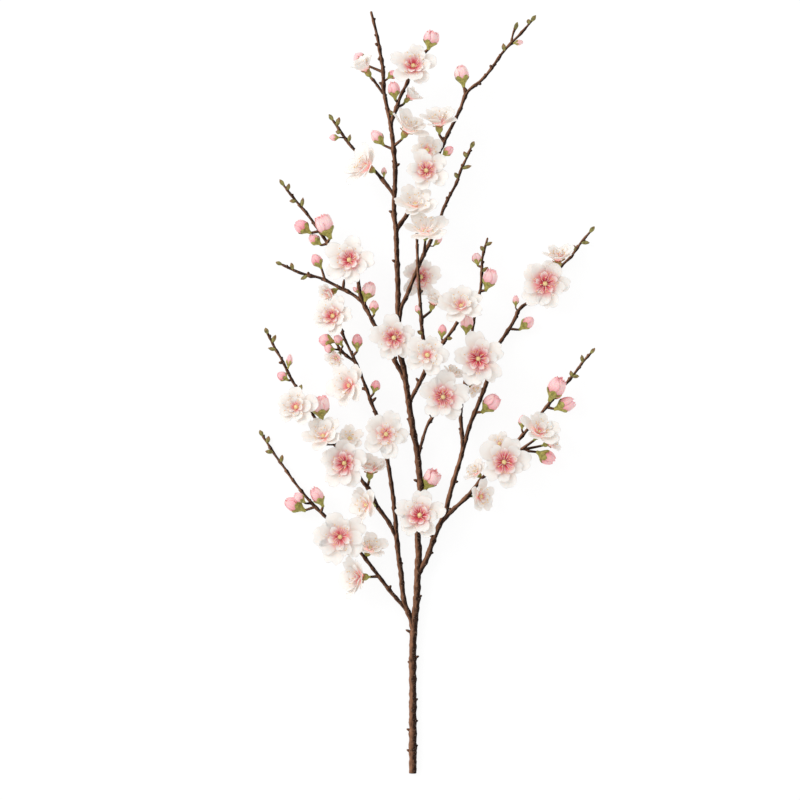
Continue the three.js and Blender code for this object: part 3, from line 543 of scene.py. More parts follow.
def bloom(settings, row):
    """Calyx, three whorls of petals, stamens and pistil of one blossom.

    The petals' mean elevation is atan(cup / (1.02 - 0.25 cup)). Each whorl stands between the
    petals of the one under it, is shorter and steeper, and blushes more.
    """
    name, _, centre, facing, size, cup, turn = row
    rng = np.random.default_rng(int(name[-2:]) * 7 + 3)
    growth = Growth()
    hub, axis, radius = place(centre), unit(facing), size * STEP
    depth = min(CALYX_DEPTH, radius * 0.42)
    small = min(1.0, radius / (12 * MM))
    rise = math.atan2(cup, 1.02 - 0.25 * cup)
    add_calyx(growth, hub - depth * axis, axis, depth, small, rise, rng)
    reach = radius * math.hypot(cup, 1.02 - 0.25 * cup)
    blush = BLUSH.get(name, BLUSH_ELSE) * settings.blush
    lean = math.acos(abs(axis[2]))
    tipped = lean > 0.6
    whorls = (
        # petals, length, width to length, added rise, height on the hub, blush
        (5, (0.92, 1.12), 0.84 + 0.06 * lean, (-0.08, 0.04), 0.0, 0.26),
        (4 if tipped else 5, (0.72, 0.95), 0.78 + 0.14 * lean,
         (0.04 + 0.14 * lean, 0.18 + 0.14 * lean), 0.3, 0.56),
        (3 if tipped else int(rng.integers(5, 7)), (0.46, 0.58 + 0.08 * lean),
         0.66 + 0.24 * lean, (0.20 + 0.24 * lean, 0.45 + 0.24 * lean), 0.6, 1.00),
    )
    start_angle = math.radians(turn)
    for level, (count, lengths, wide, added, lift, share) in enumerate(whorls):
        for k in range(count):
            angle = start_angle + 2 * np.pi * (k + 0.5 * level + rng.uniform(-0.1, 0.1)) / count
            length = reach * rng.uniform(*lengths)
            rows = 15 if level < 2 else 13
            growth.add(*petal(
                hub + (lift + 0.1 * (k % 2)) * MM * small * axis, axis, angle, 0.6 * MM * small,
                length, length * wide * rng.uniform(0.90, 1.10) * (1 - 0.22 * cup),
                rise + rng.uniform(*added), rng.uniform(0.15, 0.5), 0.07 + 0.05 * level,
                settings.petal_thickness, blush * share, rng,
                notch=rng.uniform(0.02, 0.13), ruffle=0.012 + 0.004 * level, twist=0.06,
                rows=rows, columns=rows - 2), PETAL)
        start_angle += 0.2
    stamens = int(settings.stamen_count * (1 if small == 1 else 0.6) * (1 - 0.4 * lean))
    for k in range(stamens):
        angle = 2 * np.pi * (k + rng.uniform(-0.4, 0.4)) / stamens
        slant = rng.uniform(0.30, 1.15) * (1 - 0.4 * min(cup, 1))
        shaft, anther = stamen(hub + 0.7 * MM * axis, axis, angle, slant,
                               radius * rng.uniform(0.42, 0.68), 0.18 * MM, rng)
        growth.add(*shaft, FILAMENT)
        growth.add(*anther, ANTHER)
    dome = np.array([[0.0, 1.2], [0.6, 1.6], [1.3, 1.75], [2.0, 1.55], [2.5, 1.1],
                     [2.8, 0.45]]) * MM * small
    growth.add(*turned_form(hub + 0.8 * MM * axis, axis, dome, 0.5, 16, 0.05), PISTIL)
    return growth.build(f"{name}_petals", [
        material("petal"), material("filament"), material("anther"), material("pistil"),
        material("calyx")])


# ---- Buds ----
BUD_PETAL, BUD_CALYX = range(2)


def egg_radius(along, open_top):
    """Radius of a bud as a share of its width: a sine arch that is fullest past the middle, mixed
    with a cup that stays wide to its rim in an opening bud."""
    along = np.clip(along, 0, 1)
    arch = np.sin(np.pi * along ** 0.9) ** 0.62
    cup = np.minimum(1, 1.5 * np.sqrt(along)) * (1 + 0.32 * along ** 2)
    return 0.5 * (np.maximum(arch, 0) * (1 - open_top) + open_top * cup)


def wrap(base, axis, length, width, angle, half, low, high, swell, lap, open_top, blush, rng,
         thickness=0.35 * MM, rows=11, columns=11, tip=0.0, frill=0.0):
    """A petal or sepal wrapped round a bud: a disc laid on the egg between two heights and two
    angles, swollen outwards, with one edge lapped over its neighbour and a frill at the rim."""
    X, Y = disc(rows, columns)
    share = (Y + 1) / 2
    phase = rng.uniform(0, 2 * np.pi)
    along = low + (high - low) * share * (1 + frill * np.sin(4 * X + phase) * share ** 3)
    edge = np.hypot(X, Y)
    narrow = 0.66 + 0.34 * np.sin(np.pi * np.clip(share, 0, 1)) - tip * share
    turn = angle + half * X * narrow
    radius = width * egg_radius(along, open_top) * (1 + swell + lap * X)
    radius = radius + width * (0.015 + 0.8 * frill * share ** 2) * np.sin(5 * X + phase)
    radius = np.maximum(radius, 0.02 * width)
    u, v = across(axis)
    out = np.cos(turn)[..., None] * u + np.sin(turn)[..., None] * v
    middle = base + (along * length)[..., None] * axis + radius[..., None] * out
    wall = (0.5 * thickness * np.sqrt(np.clip(1 - edge ** 4, 0, 1)))[..., None] * out
    growth = np.stack([along, X, np.full_like(X, blush)], axis=-1)
    return blade(middle + wall, middle - wall, growth)


def add_bud(growth, base, tip, width, openness, rng):
    """Core, five lapped petals, more rings of them in an opening bud, then the green pedicel and
    cup with five short sepals that clasp the petals."""
    axis = unit(tip - base)
    length = np.linalg.norm(tip - base)
    top = 0.8 * openness
    h = np.linspace(0.1, 0.94 - 0.14 * openness, 9)
    core = np.stack([h * length, width * egg_radius(h, 0) * 0.86], axis=1)
    blush = rng.uniform(0.5, 1.0) * (1 - 0.6 * openness)
    growth.add(*turned_form(base, axis, core, blush, 16), BUD_PETAL)
    first = rng.uniform(0, 2 * np.pi)
    frill = 0.02 + 0.045 * openness
    for k in range(5):
        growth.add(*wrap(base, axis, length, width, first + 2 * np.pi * k / 5, 0.98, 0.16,
                         0.99 + rng.uniform(-0.07, 0.04), 0.0, 0.055, top * rng.uniform(0.7, 1.2),
                         blush * rng.uniform(0.8, 1.15), rng, frill=frill), BUD_PETAL)
    rings = ((0.8, 1.05), (0.55, 1.03)) if openness > 0.3 else ()
    for level, (share, high) in enumerate(rings):
        for k in range(4):
            growth.add(*wrap(base, axis, length, width * share,
                             first + 0.6 + level + 2 * np.pi * k / 4, 0.95, 0.35,
                             high + rng.uniform(-0.05, 0.05), 0.0, 0.08, top, blush * 0.8, rng,
                             frill=frill), BUD_PETAL)
    foot = max(0.15 * width, 0.62 * MM)
    cup = [[-0.24 * length, foot * 0.72], [-0.12 * length, foot * 0.95], [-0.03 * length, foot * 1.2],
           [0.05 * length, max(0.27 * width, foot * 1.3)], [0.12 * length, 0.35 * width],
           [0.19 * length, 0.41 * width], [0.25 * length, 0.46 * width],
           [0.28 * length, 0.46 * width], [0.26 * length, 0.3 * width]]
    growth.add(*turned_form(base, axis, cup, rng.uniform(0, 1), 18, 0.02), BUD_CALYX)
    for k in range(5):
        growth.add(*wrap(base, axis, length, width, first + 0.6 + 2 * np.pi * k / 5, 0.54, 0.12,
                         0.43 - 0.08 * openness + rng.uniform(-0.05, 0.06), 0.11, 0.0, 0.0, 1.0,
                         rng, 0.3 * MM, 9, 7, tip=0.2), BUD_CALYX)


def leaf_bud(growth, seat, tip, rng):
    """A leaf bud: a plump egg-shaped green core with three close scales."""
    axis = unit(tip - seat)
    length = np.linalg.norm(tip - seat) + 0.5 * MM
    width = min(rng.uniform(2.3, 2.8) * MM, 0.85 * length)
    h = np.linspace(0.0, 0.98, 9)
    core = np.stack([h * length, width * 0.5 * np.sin(np.pi * (0.16 + 0.83 * h)) ** 0.75], axis=1)
    growth.add(*turned_form(seat, axis, core, rng.uniform(0, 1), 12), 0)
    first = rng.uniform(0, 2 * np.pi)
    for k in range(3):
        growth.add(*wrap(seat, axis, length, width, first + 2 * np.pi * k / 3, 1.2, 0.06,
                         rng.uniform(0.75, 0.97), 0.03, 0.05, 0.0, rng.uniform(0, 1), rng,
                         0.25 * MM, 7, 7, tip=0.1), 0)


# ---- Wood ----
LIMB_PATHS = {name: place(path) for name, _, _, _, path in LIMBS}


def nearest(limb, point, back=0.0):
    """The nearest point of a limb's centreline to a place, moved back towards the limb's base by
    a share of the distance between them, and its distance along the limb."""
    path = LIMB_PATHS[limb]
    spans = np.diff(path, axis=0)
    lengths = np.linalg.norm(spans, axis=1)
    share = np.einsum("ij,ij->i", point - path[:-1], spans) / lengths ** 2
    found = path[:-1] + np.clip(share, 0, 1)[:, None] * spans
    best = np.argmin(np.linalg.norm(found - point, axis=1))
    along = lengths[:best].sum() + np.clip(share[best], 0, 1) * lengths[best]
    along = max(0.0, along - back * np.linalg.norm(found[best] - point))
    marks = np.concatenate([[0], np.cumsum(lengths)])
    return np.array([np.interp(along, marks, path[:, k]) for k in range(3)]), along


def seats():
    """Each bloom and bud with the place where its foot is and its direction there."""
    for _, limb, centre, facing, size, _, _ in BLOOMS:
        axis = unit(facing)
        yield limb, place(centre) - min(CALYX_DEPTH, size * STEP * 0.42) * axis, axis, 1.0
    for _, limb, base, tip, width, _ in OPENING_BUDS:
        yield limb, place(base), unit(place(tip) - place(base)), 0.95
    for limb, base, tip, width in SMALL_BUDS:
        yield limb, place(base), unit(place(tip) - place(base)), min(0.9, width * 0.09)


def limb_skin(settings, name, base, tip, power, nodes, sides):
    """A limb: radius tapers from base to tip, swells below each node and falls off past it, and
    is lumpy by slow waves round and along it. It starts slimmer, inside the limb it grew from,
    and where it lies on the surface its centreline is no lower than 1.08 radius."""
    path, length = smooth_path(LIMB_PATHS[name], settings.bark_grain)
    total = length[-1]
    share = 1 - length / total
    radius = STEP * (tip + (base - tip) * share ** power)
    if name != "main":
        radius = radius * (0.8 + 0.2 * np.clip(length / (8 * MM), 0, 1))
    for node in nodes:
        gap = length - node
        reach = np.where(gap < 0, 2.6 * MM, 0.8 * MM)
        radius = radius + settings.node_swell * np.sqrt(STEP * radius) * np.exp(-(gap / reach) ** 2)
    radius = radius * (1 - 0.75 * np.clip((length - total + 0.5 * MM) / (0.5 * MM), 0, 1) ** 2)
    path = np.column_stack([path[:, :2], np.maximum(path[:, 2], 1.08 * radius)])
    _, axes_u, axes_v = carried_frames(path)
    shift = len(name) * 1.7

    def rough(ring, angle):
        s = length[ring] / MM
        lumps = (0.045 * np.sin(2 * angle + 0.5 * s + shift) * np.sin(0.21 * s + shift)
                 + 0.035 * np.sin(3 * angle - 0.9 * s + 2 * shift)
                 + 0.020 * np.sin(5 * angle + 1.9 * s) * np.sin(0.33 * s + 1)
                 + 0.018 * np.sin(9 * angle + 0.35 * s + shift))
        return radius[ring] * (1 + settings.bark_lumps * lumps)

    def values(ring, angle, wide):
        r = radius[ring]
        return np.stack([r * np.cos(angle), r * np.sin(angle), length[ring] + 0 * angle], axis=-1)

    return tube(path, axes_u, axes_v, rough, values, sides)


def stalk_skin(limb, foot, axis, thick):
    """The woody spur from a limb to the foot of a calyx: it slants off the limb below the foot
    and comes in square to it, thickest at the limb and ringed by small scars."""
    start, _ = nearest(limb, foot, back=0.7)
    reach = np.linalg.norm(foot - start)
    path, length = smooth_path([start, foot - min(2.0 * MM, 0.4 * reach) * axis, foot], 0.4 * MM)
    share = length / length[-1]
    radius = STALK_RADIUS * thick * (1.5 - 0.55 * share ** 0.6)
    radius = radius * (1 + 0.09 * np.sin(length / MM * 4.2 + thick * 40) * (1 - share))
    _, axes_u, axes_v = carried_frames(path)

    def values(ring, angle, wide):
        return np.stack([wide * np.cos(angle), wide * np.sin(angle),
                         length[ring] + 0 * angle], axis=-1)

    return tube(path, axes_u, axes_v, lambda ring, a: radius[ring] + 0 * a, values, 9)


def scar_nodes(name, rng, spacing):
    """Distances along a limb of its leaf scars, and a small knob that sits on each, on
    alternate sides."""
    path = LIMB_PATHS[name]
    lengths = np.linalg.norm(np.diff(path, axis=0), axis=1)
    marks = np.concatenate([[0], np.cumsum(lengths)])
    along, side = rng.uniform(0.5, 1.0) * spacing, 1
    while along < marks[-1] - 2 * MM:
        seat = np.array([np.interp(along, marks, path[:, k]) for k in range(3)])
        index = min(np.searchsorted(marks, along), len(path) - 1)
        forward = unit(path[index] - path[index - 1])
        u, v = across(forward)
        turn = side * 0.5 * np.pi + rng.uniform(-0.7, 0.7)
        out = math.sin(turn) * u + math.cos(turn) * v
        yield along, seat, forward, out
        along += rng.uniform(0.7, 1.3) * spacing
        side = -side


def knob_skin(seat, forward, out, thick, rng):
    """A knob over a leaf scar: a short egg that leans forward off the limb."""
    axis = unit(out + rng.uniform(0.6, 1.3) * forward)
    reach = thick + rng.uniform(0.7, 1.25) * MM
    rings = np.array([[0.0, 0.95], [0.3, 1.1], [0.55, 1.0], [0.78, 0.72], [0.93, 0.4],
                      [1.0, 0.15]])
    profile = rings * np.array([reach, rng.uniform(0.75, 1.0) * MM])
    return turned_form(seat, axis, profile, 0.0, 8)


def stub_skin(limb, x, y):
    """A short woody bud or broken spur that lies against its limb."""
    seat, _ = nearest(limb, place([x, y, 15]))
    end = place([x, y, 0])
    end[2] = seat[2] + 0.5 * MM
    path = LIMB_PATHS[limb]
    along = unit(path[-1] - path[0])
    reach = np.linalg.norm(end - seat)
    axis = unit(end - seat + 0.45 * reach * along)
    rings = np.array([[0.0, 0.9], [0.35, 1.05], [0.6, 1.0], [0.8, 0.8], [0.93, 0.5], [1.0, 0.2]])
    profile = rings * np.array([reach * 1.15, 1.05 * MM])
    return turned_form(seat, axis, profile, 0.0, 9)


# ---- Materials ----
def linear(red, green, blue):
    """A linear colour from the usual 0 to 255 values."""
    return tuple(((c / 255 + 0.055) / 1.055) ** 2.4 if c > 10 else c / 3294
                 for c in (red, green, blue)) + (1.0,)


class Tree:
    """Short ways to add and join nodes in one material's or group's tree."""

    def __init__(self, tree):
        self.tree = tree

    def node(self, kind, **settings):
        made = self.tree.nodes.new(kind)
        for key, value in settings.items():
            if hasattr(made, key):
                setattr(made, key, value)
            else:
                made.inputs[key.replace("_", " ")].default_value = value
        return made

    def join(self, output, socket):
        self.tree.links.new(output, socket)

    def math(self, operation, a, b=0.0, clamp=False):
        made = self.node("ShaderNodeMath", operation=operation, use_clamp=clamp)
        for index, value in enumerate((a, b)):
            if isinstance(value, bpy.types.NodeSocket):
                self.join(value, made.inputs[index])
            else:
                made.inputs[index].default_value = value
        return made.outputs[0]

    def mix(self, factor, a, b, blend="MIX"):
        made = self.node("ShaderNodeMix", data_type="RGBA", blend_type=blend)
        for socket, value in ((made.inputs[0], factor), (made.inputs[6], a), (made.inputs[7], b)):
            if isinstance(value, bpy.types.NodeSocket):
                self.join(value, socket)
            else:
                socket.default_value = value
        return made.outputs[2]

    def ramp(self, value, low, high):
        made = self.node("ShaderNodeMapRange", interpolation_type="SMOOTHSTEP")
        self.join(value, made.inputs[0])
        made.inputs[1].default_value = low
        made.inputs[2].default_value = high
        return made.outputs[0]

    def noise(self, vector, scale, detail=3.0, rough=0.5):
        made = self.node("ShaderNodeTexNoise")
        made.inputs["Scale"].default_value = scale
        made.inputs["Detail"].default_value = detail
        made.inputs["Roughness"].default_value = rough
        if vector is not None:
            self.join(vector, made.inputs["Vector"])
        return made.outputs[0]

    def stretch(self, vector, x, y, z):
        made = self.node("ShaderNodeMapping", vector_type="POINT")
        made.inputs["Scale"].default_value = (x, y, z)
        self.join(vector, made.inputs["Vector"])
        return made.outputs[0]


def effect(name, inputs, outputs, fill):
    """A shader node group with named inputs and outputs, built once."""
    if name in bpy.data.node_groups:
        return bpy.data.node_groups[name]
    group = bpy.data.node_groups.new(name, "ShaderNodeTree")
    for label, kind, value in inputs:
        socket = group.interface.new_socket(label, in_out="INPUT", socket_type=kind)
        if value is not None:
            socket.default_value = value
    for label, kind in outputs:
        group.interface.new_socket(label, in_out="OUTPUT", socket_type=kind)
    tree = Tree(group)
    fill(tree, tree.node("NodeGroupInput").outputs, tree.node("NodeGroupOutput").inputs)
    return group


def mottle_group():
    """Soft blotches on Object coordinates: two colours mixed by slow noise, fine noise as height."""
    def fill(tree, given, out):
        spot = tree.node("ShaderNodeTexCoord").outputs["Object"]
        scaled = tree.node("ShaderNodeVectorMath", operation="SCALE")
        tree.join(spot, scaled.inputs[0])
        tree.join(given["Scale"], scaled.inputs["Scale"])
        slow = tree.ramp(tree.noise(scaled.outputs[0], 1.0), 0.35, 0.65)
        fine = tree.noise(scaled.outputs[0], 5.0)
        tree.join(tree.mix(slow, given["Light"], given["Dark"]), out["Color"])
        tree.join(fine, out["Height"])
    return effect("mottle", [("Light", "NodeSocketColor", (0.8, 0.8, 0.8, 1)),
                             ("Dark", "NodeSocketColor", (0.2, 0.2, 0.2, 1)),
                             ("Scale", "NodeSocketFloat", 400.0)],
                  [("Color", "NodeSocketColor"), ("Height", "NodeSocketFloat")], fill)


def vein_group():
    """Fine veins that fan out along a petal: noise stretched along it, read from growth."""
    def fill(tree, given, out):
        growth = tree.node("ShaderNodeAttribute", attribute_name="growth").outputs["Vector"]
        parts = tree.node("ShaderNodeSeparateXYZ")
        tree.join(growth, parts.inputs[0])
        spot = tree.node("ShaderNodeTexCoord").outputs["Object"]
        drift = tree.noise(spot, 60.0, 1.0)
        along, side = parts.outputs[0], parts.outputs[1]
        fan = tree.math("DIVIDE", side, tree.math("ADD", along, 0.25))
        lanes = tree.node("ShaderNodeCombineXYZ")
        tree.join(tree.math("MULTIPLY", fan, given["Lanes"]), lanes.inputs[0])
        tree.join(along, lanes.inputs[1])
        tree.join(tree.math("MULTIPLY", drift, 7.0), lanes.inputs[2])
        line = tree.noise(lanes.outputs[0], 1.0, 2.0, 0.6)
        tree.join(tree.ramp(line, 0.44, 0.66), out["Streak"])
        tree.join(along, out["Along"])
        tree.join(parts.outputs[2], out["Blush"])
        tree.join(line, out["Height"])
    return effect("veins", [("Lanes", "NodeSocketFloat", 7.0)],
                  [("Streak", "NodeSocketFloat"), ("Along", "NodeSocketFloat"),
                   ("Blush", "NodeSocketFloat"), ("Height", "NodeSocketFloat")], fill)


def begin(name):
    """A new material with its Principled shader, and the tree to add nodes to."""
    made = bpy.data.materials.new(name)
    made.use_nodes = True
    tree = Tree(made.node_tree)
    shader = next(n for n in made.node_tree.nodes if n.type == "BSDF_PRINCIPLED")
    return made, tree, shader


def bump(tree, shader, height, strength, distance):
    """Joins a height to the shader's normal through a Bump node."""
    made = tree.node("ShaderNodeBump")
    made.inputs["Strength"].default_value = strength
    made.inputs["Distance"].default_value = distance
    tree.join(height, made.inputs["Height"])
    tree.join(made.outputs[0], shader.inputs["Normal"])


def place_group(tree, group, **values):
    """An effect group in a material, with its own values."""
    made = tree.node("ShaderNodeGroup")
    made.node_tree = group
    for key, value in values.items():
        made.inputs[key].default_value = value
    return made.outputs


def petal_material(name, settings):
    """Ivory that blushes to rose and then to crimson streaks at the claw; the blush value sets how far up
    the petal the rose climbs. The ivory is painted deeper towards the middle and foot as painted shade.
    The petals also glow in their own colour as painted light, most strongly at the foot of pale petals,
    where the cup lies in shade."""
    made, tree, shader = begin(name)
    veins = place_group(tree, vein_group(), Lanes=settings.streaks)
    along, streak, blush = veins["Along"], veins["Streak"], veins["Blush"]
    climb = tree.math("ADD", 0.30, tree.math("MULTIPLY", blush, 0.72))
    share = tree.math("DIVIDE", along, climb)
    near = tree.math("SUBTRACT", 1.0, tree.ramp(share, 0.3, 1.05))
    gain = tree.math("POWER", blush, 0.45)
    strong = tree.math("POWER", blush, 1.3)
    soft = tree.math("MULTIPLY", near, gain, clamp=True)
    inner = tree.math("SUBTRACT", 1.0, tree.ramp(share, 0.25, 0.95))
    lines = tree.math("ADD", tree.math("MULTIPLY", streak, 0.75), 0.25)
    deep = tree.math("MULTIPLY", tree.math("MULTIPLY", inner, lines), strong, clamp=True)
    core = tree.math("SUBTRACT", 1.0, tree.ramp(share, 0.08, 0.62))
    core = tree.math("MULTIPLY", core, strong, clamp=True)
    plain = tree.math("SUBTRACT", 1.0, gain, clamp=True)
    # Painted shade: the ivory is painted deeper towards the petal's foot and middle, where petals overlap,
    # and lighter towards its tip. Pale petals keep more of the light ivory.
    rim = tree.math("ADD", tree.ramp(along, 0.35, 0.98), tree.math("MULTIPLY", plain, 0.6),
                    clamp=True)
    pale = tree.mix(rim, tuple(settings.ivory_painted_shade) + (1,), tuple(settings.ivory) + (1,))
    colour = tree.mix(soft, pale, tuple(settings.rose) + (1,))
    colour = tree.mix(deep, colour, tuple(settings.crimson) + (1,))
    colour = tree.mix(tree.math("MULTIPLY", core, 0.9), colour, tuple(settings.crimson) + (1,))
    tree.join(colour, shader.inputs["Base Color"])
    # Painted light: the petals glow in their own colour, a little everywhere and most at the foot of pale
    # petals, to lift the shade inside the cups.
    tree.join(colour, shader.inputs["Emission Color"])
    foot = tree.math("SUBTRACT", 1.0, tree.ramp(along, 0.0, 0.7))
    painted_glow = tree.math("ADD", 0.07, tree.math("MULTIPLY", tree.math("MULTIPLY", foot, plain), 0.78))
    tree.join(painted_glow, shader.inputs["Emission Strength"])
    shader.inputs["Roughness"].default_value = 0.55
    shader.inputs["Subsurface Weight"].default_value = 0.5
    shader.inputs["Subsurface Radius"].default_value = (1.0, 0.75, 0.65)
    shader.inputs["Subsurface Scale"].default_value = 0.0015
    shader.inputs["Specular IOR Level"].default_value = 0.3
    bump(tree, shader, veins["Height"], 0.25, 0.0003)
    return made


def bud_material(name):
    """Rose petals, deep at the calyx and at their edges, and paler towards the top, with a faint painted
    glow in their own colour.
    """
    made, tree, shader = begin(name)
    veins = place_group(tree, vein_group(), Lanes=5.0)
    along, streak, blush = veins["Along"], veins["Streak"], veins["Blush"]
    pale = tree.mix(blush, linear(252, 234, 228), linear(241, 176, 180))
    rim = tree.math("MULTIPLY", tree.ramp(along, 0.8, 1.02), 0.45)
    colour = tree.mix(rim, pale, linear(228, 126, 138))
    base = tree.math("SUBTRACT", 1.0, tree.ramp(along, 0.25, 0.7))
    base = tree.math("MULTIPLY", base, tree.math("ADD", 0.1, tree.math("MULTIPLY", blush, 0.6)))
    colour = tree.mix(base, colour, linear(220, 104, 120))
    parts = tree.node("ShaderNodeSeparateXYZ")
    tree.join(tree.node("ShaderNodeAttribute", attribute_name="growth").outputs["Vector"],
              parts.inputs[0])
    side = tree.ramp(tree.math("ABSOLUTE", parts.outputs[1]), 0.72, 1.0)
    colour = tree.mix(tree.math("MULTIPLY", side, 0.55), colour, linear(222, 112, 128))
    lines = tree.math("MULTIPLY", streak, 0.25)
    colour = tree.mix(lines, colour, linear(226, 134, 146))
    tree.join(colour, shader.inputs["Base Color"])
    # Painted light: a faint glow in the petals' own colour lightens their shaded seams.
    tree.join(colour, shader.inputs["Emission Color"])
    shader.inputs["Emission Strength"].default_value = 0.08
    shader.inputs["Roughness"].default_value = 0.5
    shader.inputs["Subsurface Weight"].default_value = 0.2
    shader.inputs["Subsurface Scale"].default_value = 0.0015
    shader.inputs["Specular IOR Level"].default_value = 0.35
    bump(tree, shader, veins["Height"], 0.2, 0.0002)
    return made


def green_material(name, light, dark, tip_colour, tip_from):
    """Mottled green that turns reddish towards the tip."""
    made, tree, shader = begin(name)
    blotch = place_group(tree, mottle_group(), Light=light, Dark=dark, Scale=500.0)
    growth = tree.node("ShaderNodeAttribute", attribute_name="growth").outputs["Vector"]
    parts = tree.node("ShaderNodeSeparateXYZ")
    tree.join(growth, parts.inputs[0])
    ends = tree.ramp(parts.outputs[0], tip_from, 1.0)
    ends = tree.math("MULTIPLY", ends, parts.outputs[2], clamp=True)
    tree.join(tree.mix(ends, blotch["Color"], tip_colour), shader.inputs["Base Color"])
    shader.inputs["Roughness"].default_value = 0.48
    shader.inputs["Specular IOR Level"].default_value = 0.4
    bump(tree, shader, blotch["Height"], 0.3, 0.0002)
    return made


def soft_material(name, light, dark, scale, roughness):
    """A small soft part in two close colours."""
    made, tree, shader = begin(name)
    blotch = place_group(tree, mottle_group(), Light=light, Dark=dark, Scale=scale)
    tree.join(blotch["Color"], shader.inputs["Base Color"])
    shader.inputs["Roughness"].default_value = roughness
    bump(tree, shader, blotch["Height"], 0.4, 0.0002)
    return made


def filament_material(name, foot, top):
    """A filament that is rosy where it leaves the hub and pale above."""
    made, tree, shader = begin(name)
    growth = tree.node("ShaderNodeAttribute", attribute_name="growth").outputs["Vector"]
    parts = tree.node("ShaderNodeSeparateXYZ")
    tree.join(growth, parts.inputs[0])
    pale = tree.ramp(parts.outputs[0], 0.15, 0.6)
    tree.join(tree.mix(pale, foot, top), shader.inputs["Base Color"])
    shader.inputs["Roughness"].default_value = 0.5
    return made


def bark_material(name, settings):
    """Dark brown bark with painted light and shade: the side whose surface faces the key light at the
    upper left is painted taupe, and the side turned away from it is painted dark. A patchy film of random
    tone breaks this up, with ridges along the bark and pale lenticels across it."""
    made, tree, shader = begin(name)
    growth = tree.node("ShaderNodeAttribute", attribute_name="growth").outputs["Vector"]
    film = tree.noise(tree.stretch(growth, 700, 700, 160), 1.0, 4.0, 0.6)
    # Painted light and shade: how far the surface faces the key light at the upper left sets the mix
    # between dark bark and taupe, so the lit side is painted light and the far side painted dark.
    facing = tree.node("ShaderNodeVectorMath", operation="DOT_PRODUCT")
    tree.join(tree.node("ShaderNodeTexCoord").outputs["Normal"], facing.inputs[0])
    facing.inputs[1].default_value = (-0.92, 0.3, 0.25)
    painted_light_side = tree.math("MULTIPLY", facing.outputs["Value"], 0.6)
    painted_light_side = tree.ramp(tree.math("ADD", painted_light_side, film), 0.44, 1.14)
    ridges = tree.noise(tree.stretch(growth, 2600, 2600, 260), 1.0, 3.0, 0.6)
    dashes = tree.noise(tree.stretch(growth, 700, 700, 2600), 1.0, 1.0)
    lenticels = tree.ramp(dashes, 0.64, 0.70)
    pits = tree.noise(tree.stretch(growth, 3000, 3000, 3000), 1.0, 2.0)
    dark, light = tuple(settings.bark_dark_and_shade) + (1,), tuple(settings.bark_taupe_and_lit) + (1,)
    # Painted light: taupe on the side towards the key light, dark on the shaded side, with the film's
    # random tone mixed in.
    colour = tree.mix(painted_light_side, dark, light)
    colour = tree.mix(tree.math("MULTIPLY", tree.ramp(ridges, 0.5, 0.75), 0.3), colour,
                      linear(44, 27, 20))
    colour = tree.mix(tree.math("MULTIPLY", lenticels, 0.7), colour, linear(163, 136, 118))
    tree.join(colour, shader.inputs["Base Color"])
    rough = tree.math("ADD", 0.58, tree.math("MULTIPLY", ridges, 0.3))
    tree.join(rough, shader.inputs["Roughness"])
    shader.inputs["Specular IOR Level"].default_value = 0.10
    height = tree.math("ADD", tree.math("MULTIPLY", ridges, 0.7),
                       tree.math("MULTIPLY", lenticels, 0.5))
    height = tree.math("ADD", height, tree.math("MULTIPLY", pits, 0.3))
    bump(tree, shader, height, 0.55, 0.0004)
    return made


MATERIALS = {}


def material(name):
    """A finish by its name, made when it is first asked for."""
    if name not in MATERIALS:
        bloom_look = bpy.context.scene.plum_bloom
        wood_look = bpy.context.scene.plum_wood
        MATERIALS[name] = {
            "petal": lambda: petal_material("petal", bloom_look),
            "filament": lambda: filament_material("filament", linear(228, 150, 160),
                                                  linear(252, 240, 234)),
            "anther": lambda: soft_material("anther", linear(247, 214, 146),
                                            linear(234, 178, 108), 900.0, 0.6),
            "pistil": lambda: soft_material("pistil", linear(246, 232, 178),
                                            linear(222, 194, 120), 1400.0, 0.5),
            "calyx": lambda: green_material("calyx", linear(170, 168, 82), linear(130, 132, 58),
                                            linear(172, 92, 70), 0.5),
            "bud_petal": lambda: bud_material("bud_petal"),
            "bud_calyx": lambda: green_material("bud_calyx", linear(178, 170, 86),
                                                linear(136, 132, 60), linear(176, 104, 76), 0.38),
            "leaf_bud": lambda: green_material("leaf_bud", linear(148, 142, 78),
                                               linear(104, 96, 46), linear(146, 88, 56), 0.3),
            "bark": lambda: bark_material("bark", wood_look),
        }[name]()
    return MATERIALS[name]


# ---- Settings ----
class PlumWoodSettings(bpy.types.PropertyGroup):
    bark_grain: FloatProperty(
        name="Ring spacing", description="Distance between rings along a limb",
        default=0.7 * MM, unit="LENGTH")
    bark_lumps: FloatProperty(
        name="Lumps", description="Strength of the slow waves in the bark", default=1.0)
    node_swell: FloatProperty(
        name="Node swelling", description="How much a limb swells at a node", default=0.28)
    scar_spacing: FloatProperty(
        name="Scar spacing", description="Mean distance between leaf scars",
        default=9 * MM, unit="LENGTH")
    # Dark bark: the bark's own dark tone, and also the painted shade on the side turned away from the key
    # light.
    bark_dark_and_shade: FloatVectorProperty(
        name="Dark bark", description="Colour in the hollows", subtype="COLOR", size=3,
        default=linear(37, 21, 14)[:3])
    # Light bark: the taupe film's tone, and also the painted light on the side that faces the key light.
    bark_taupe_and_lit: FloatVectorProperty(
        name="Light bark", description="Colour of the taupe film", subtype="COLOR", size=3,
        default=linear(154, 109, 82)[:3])


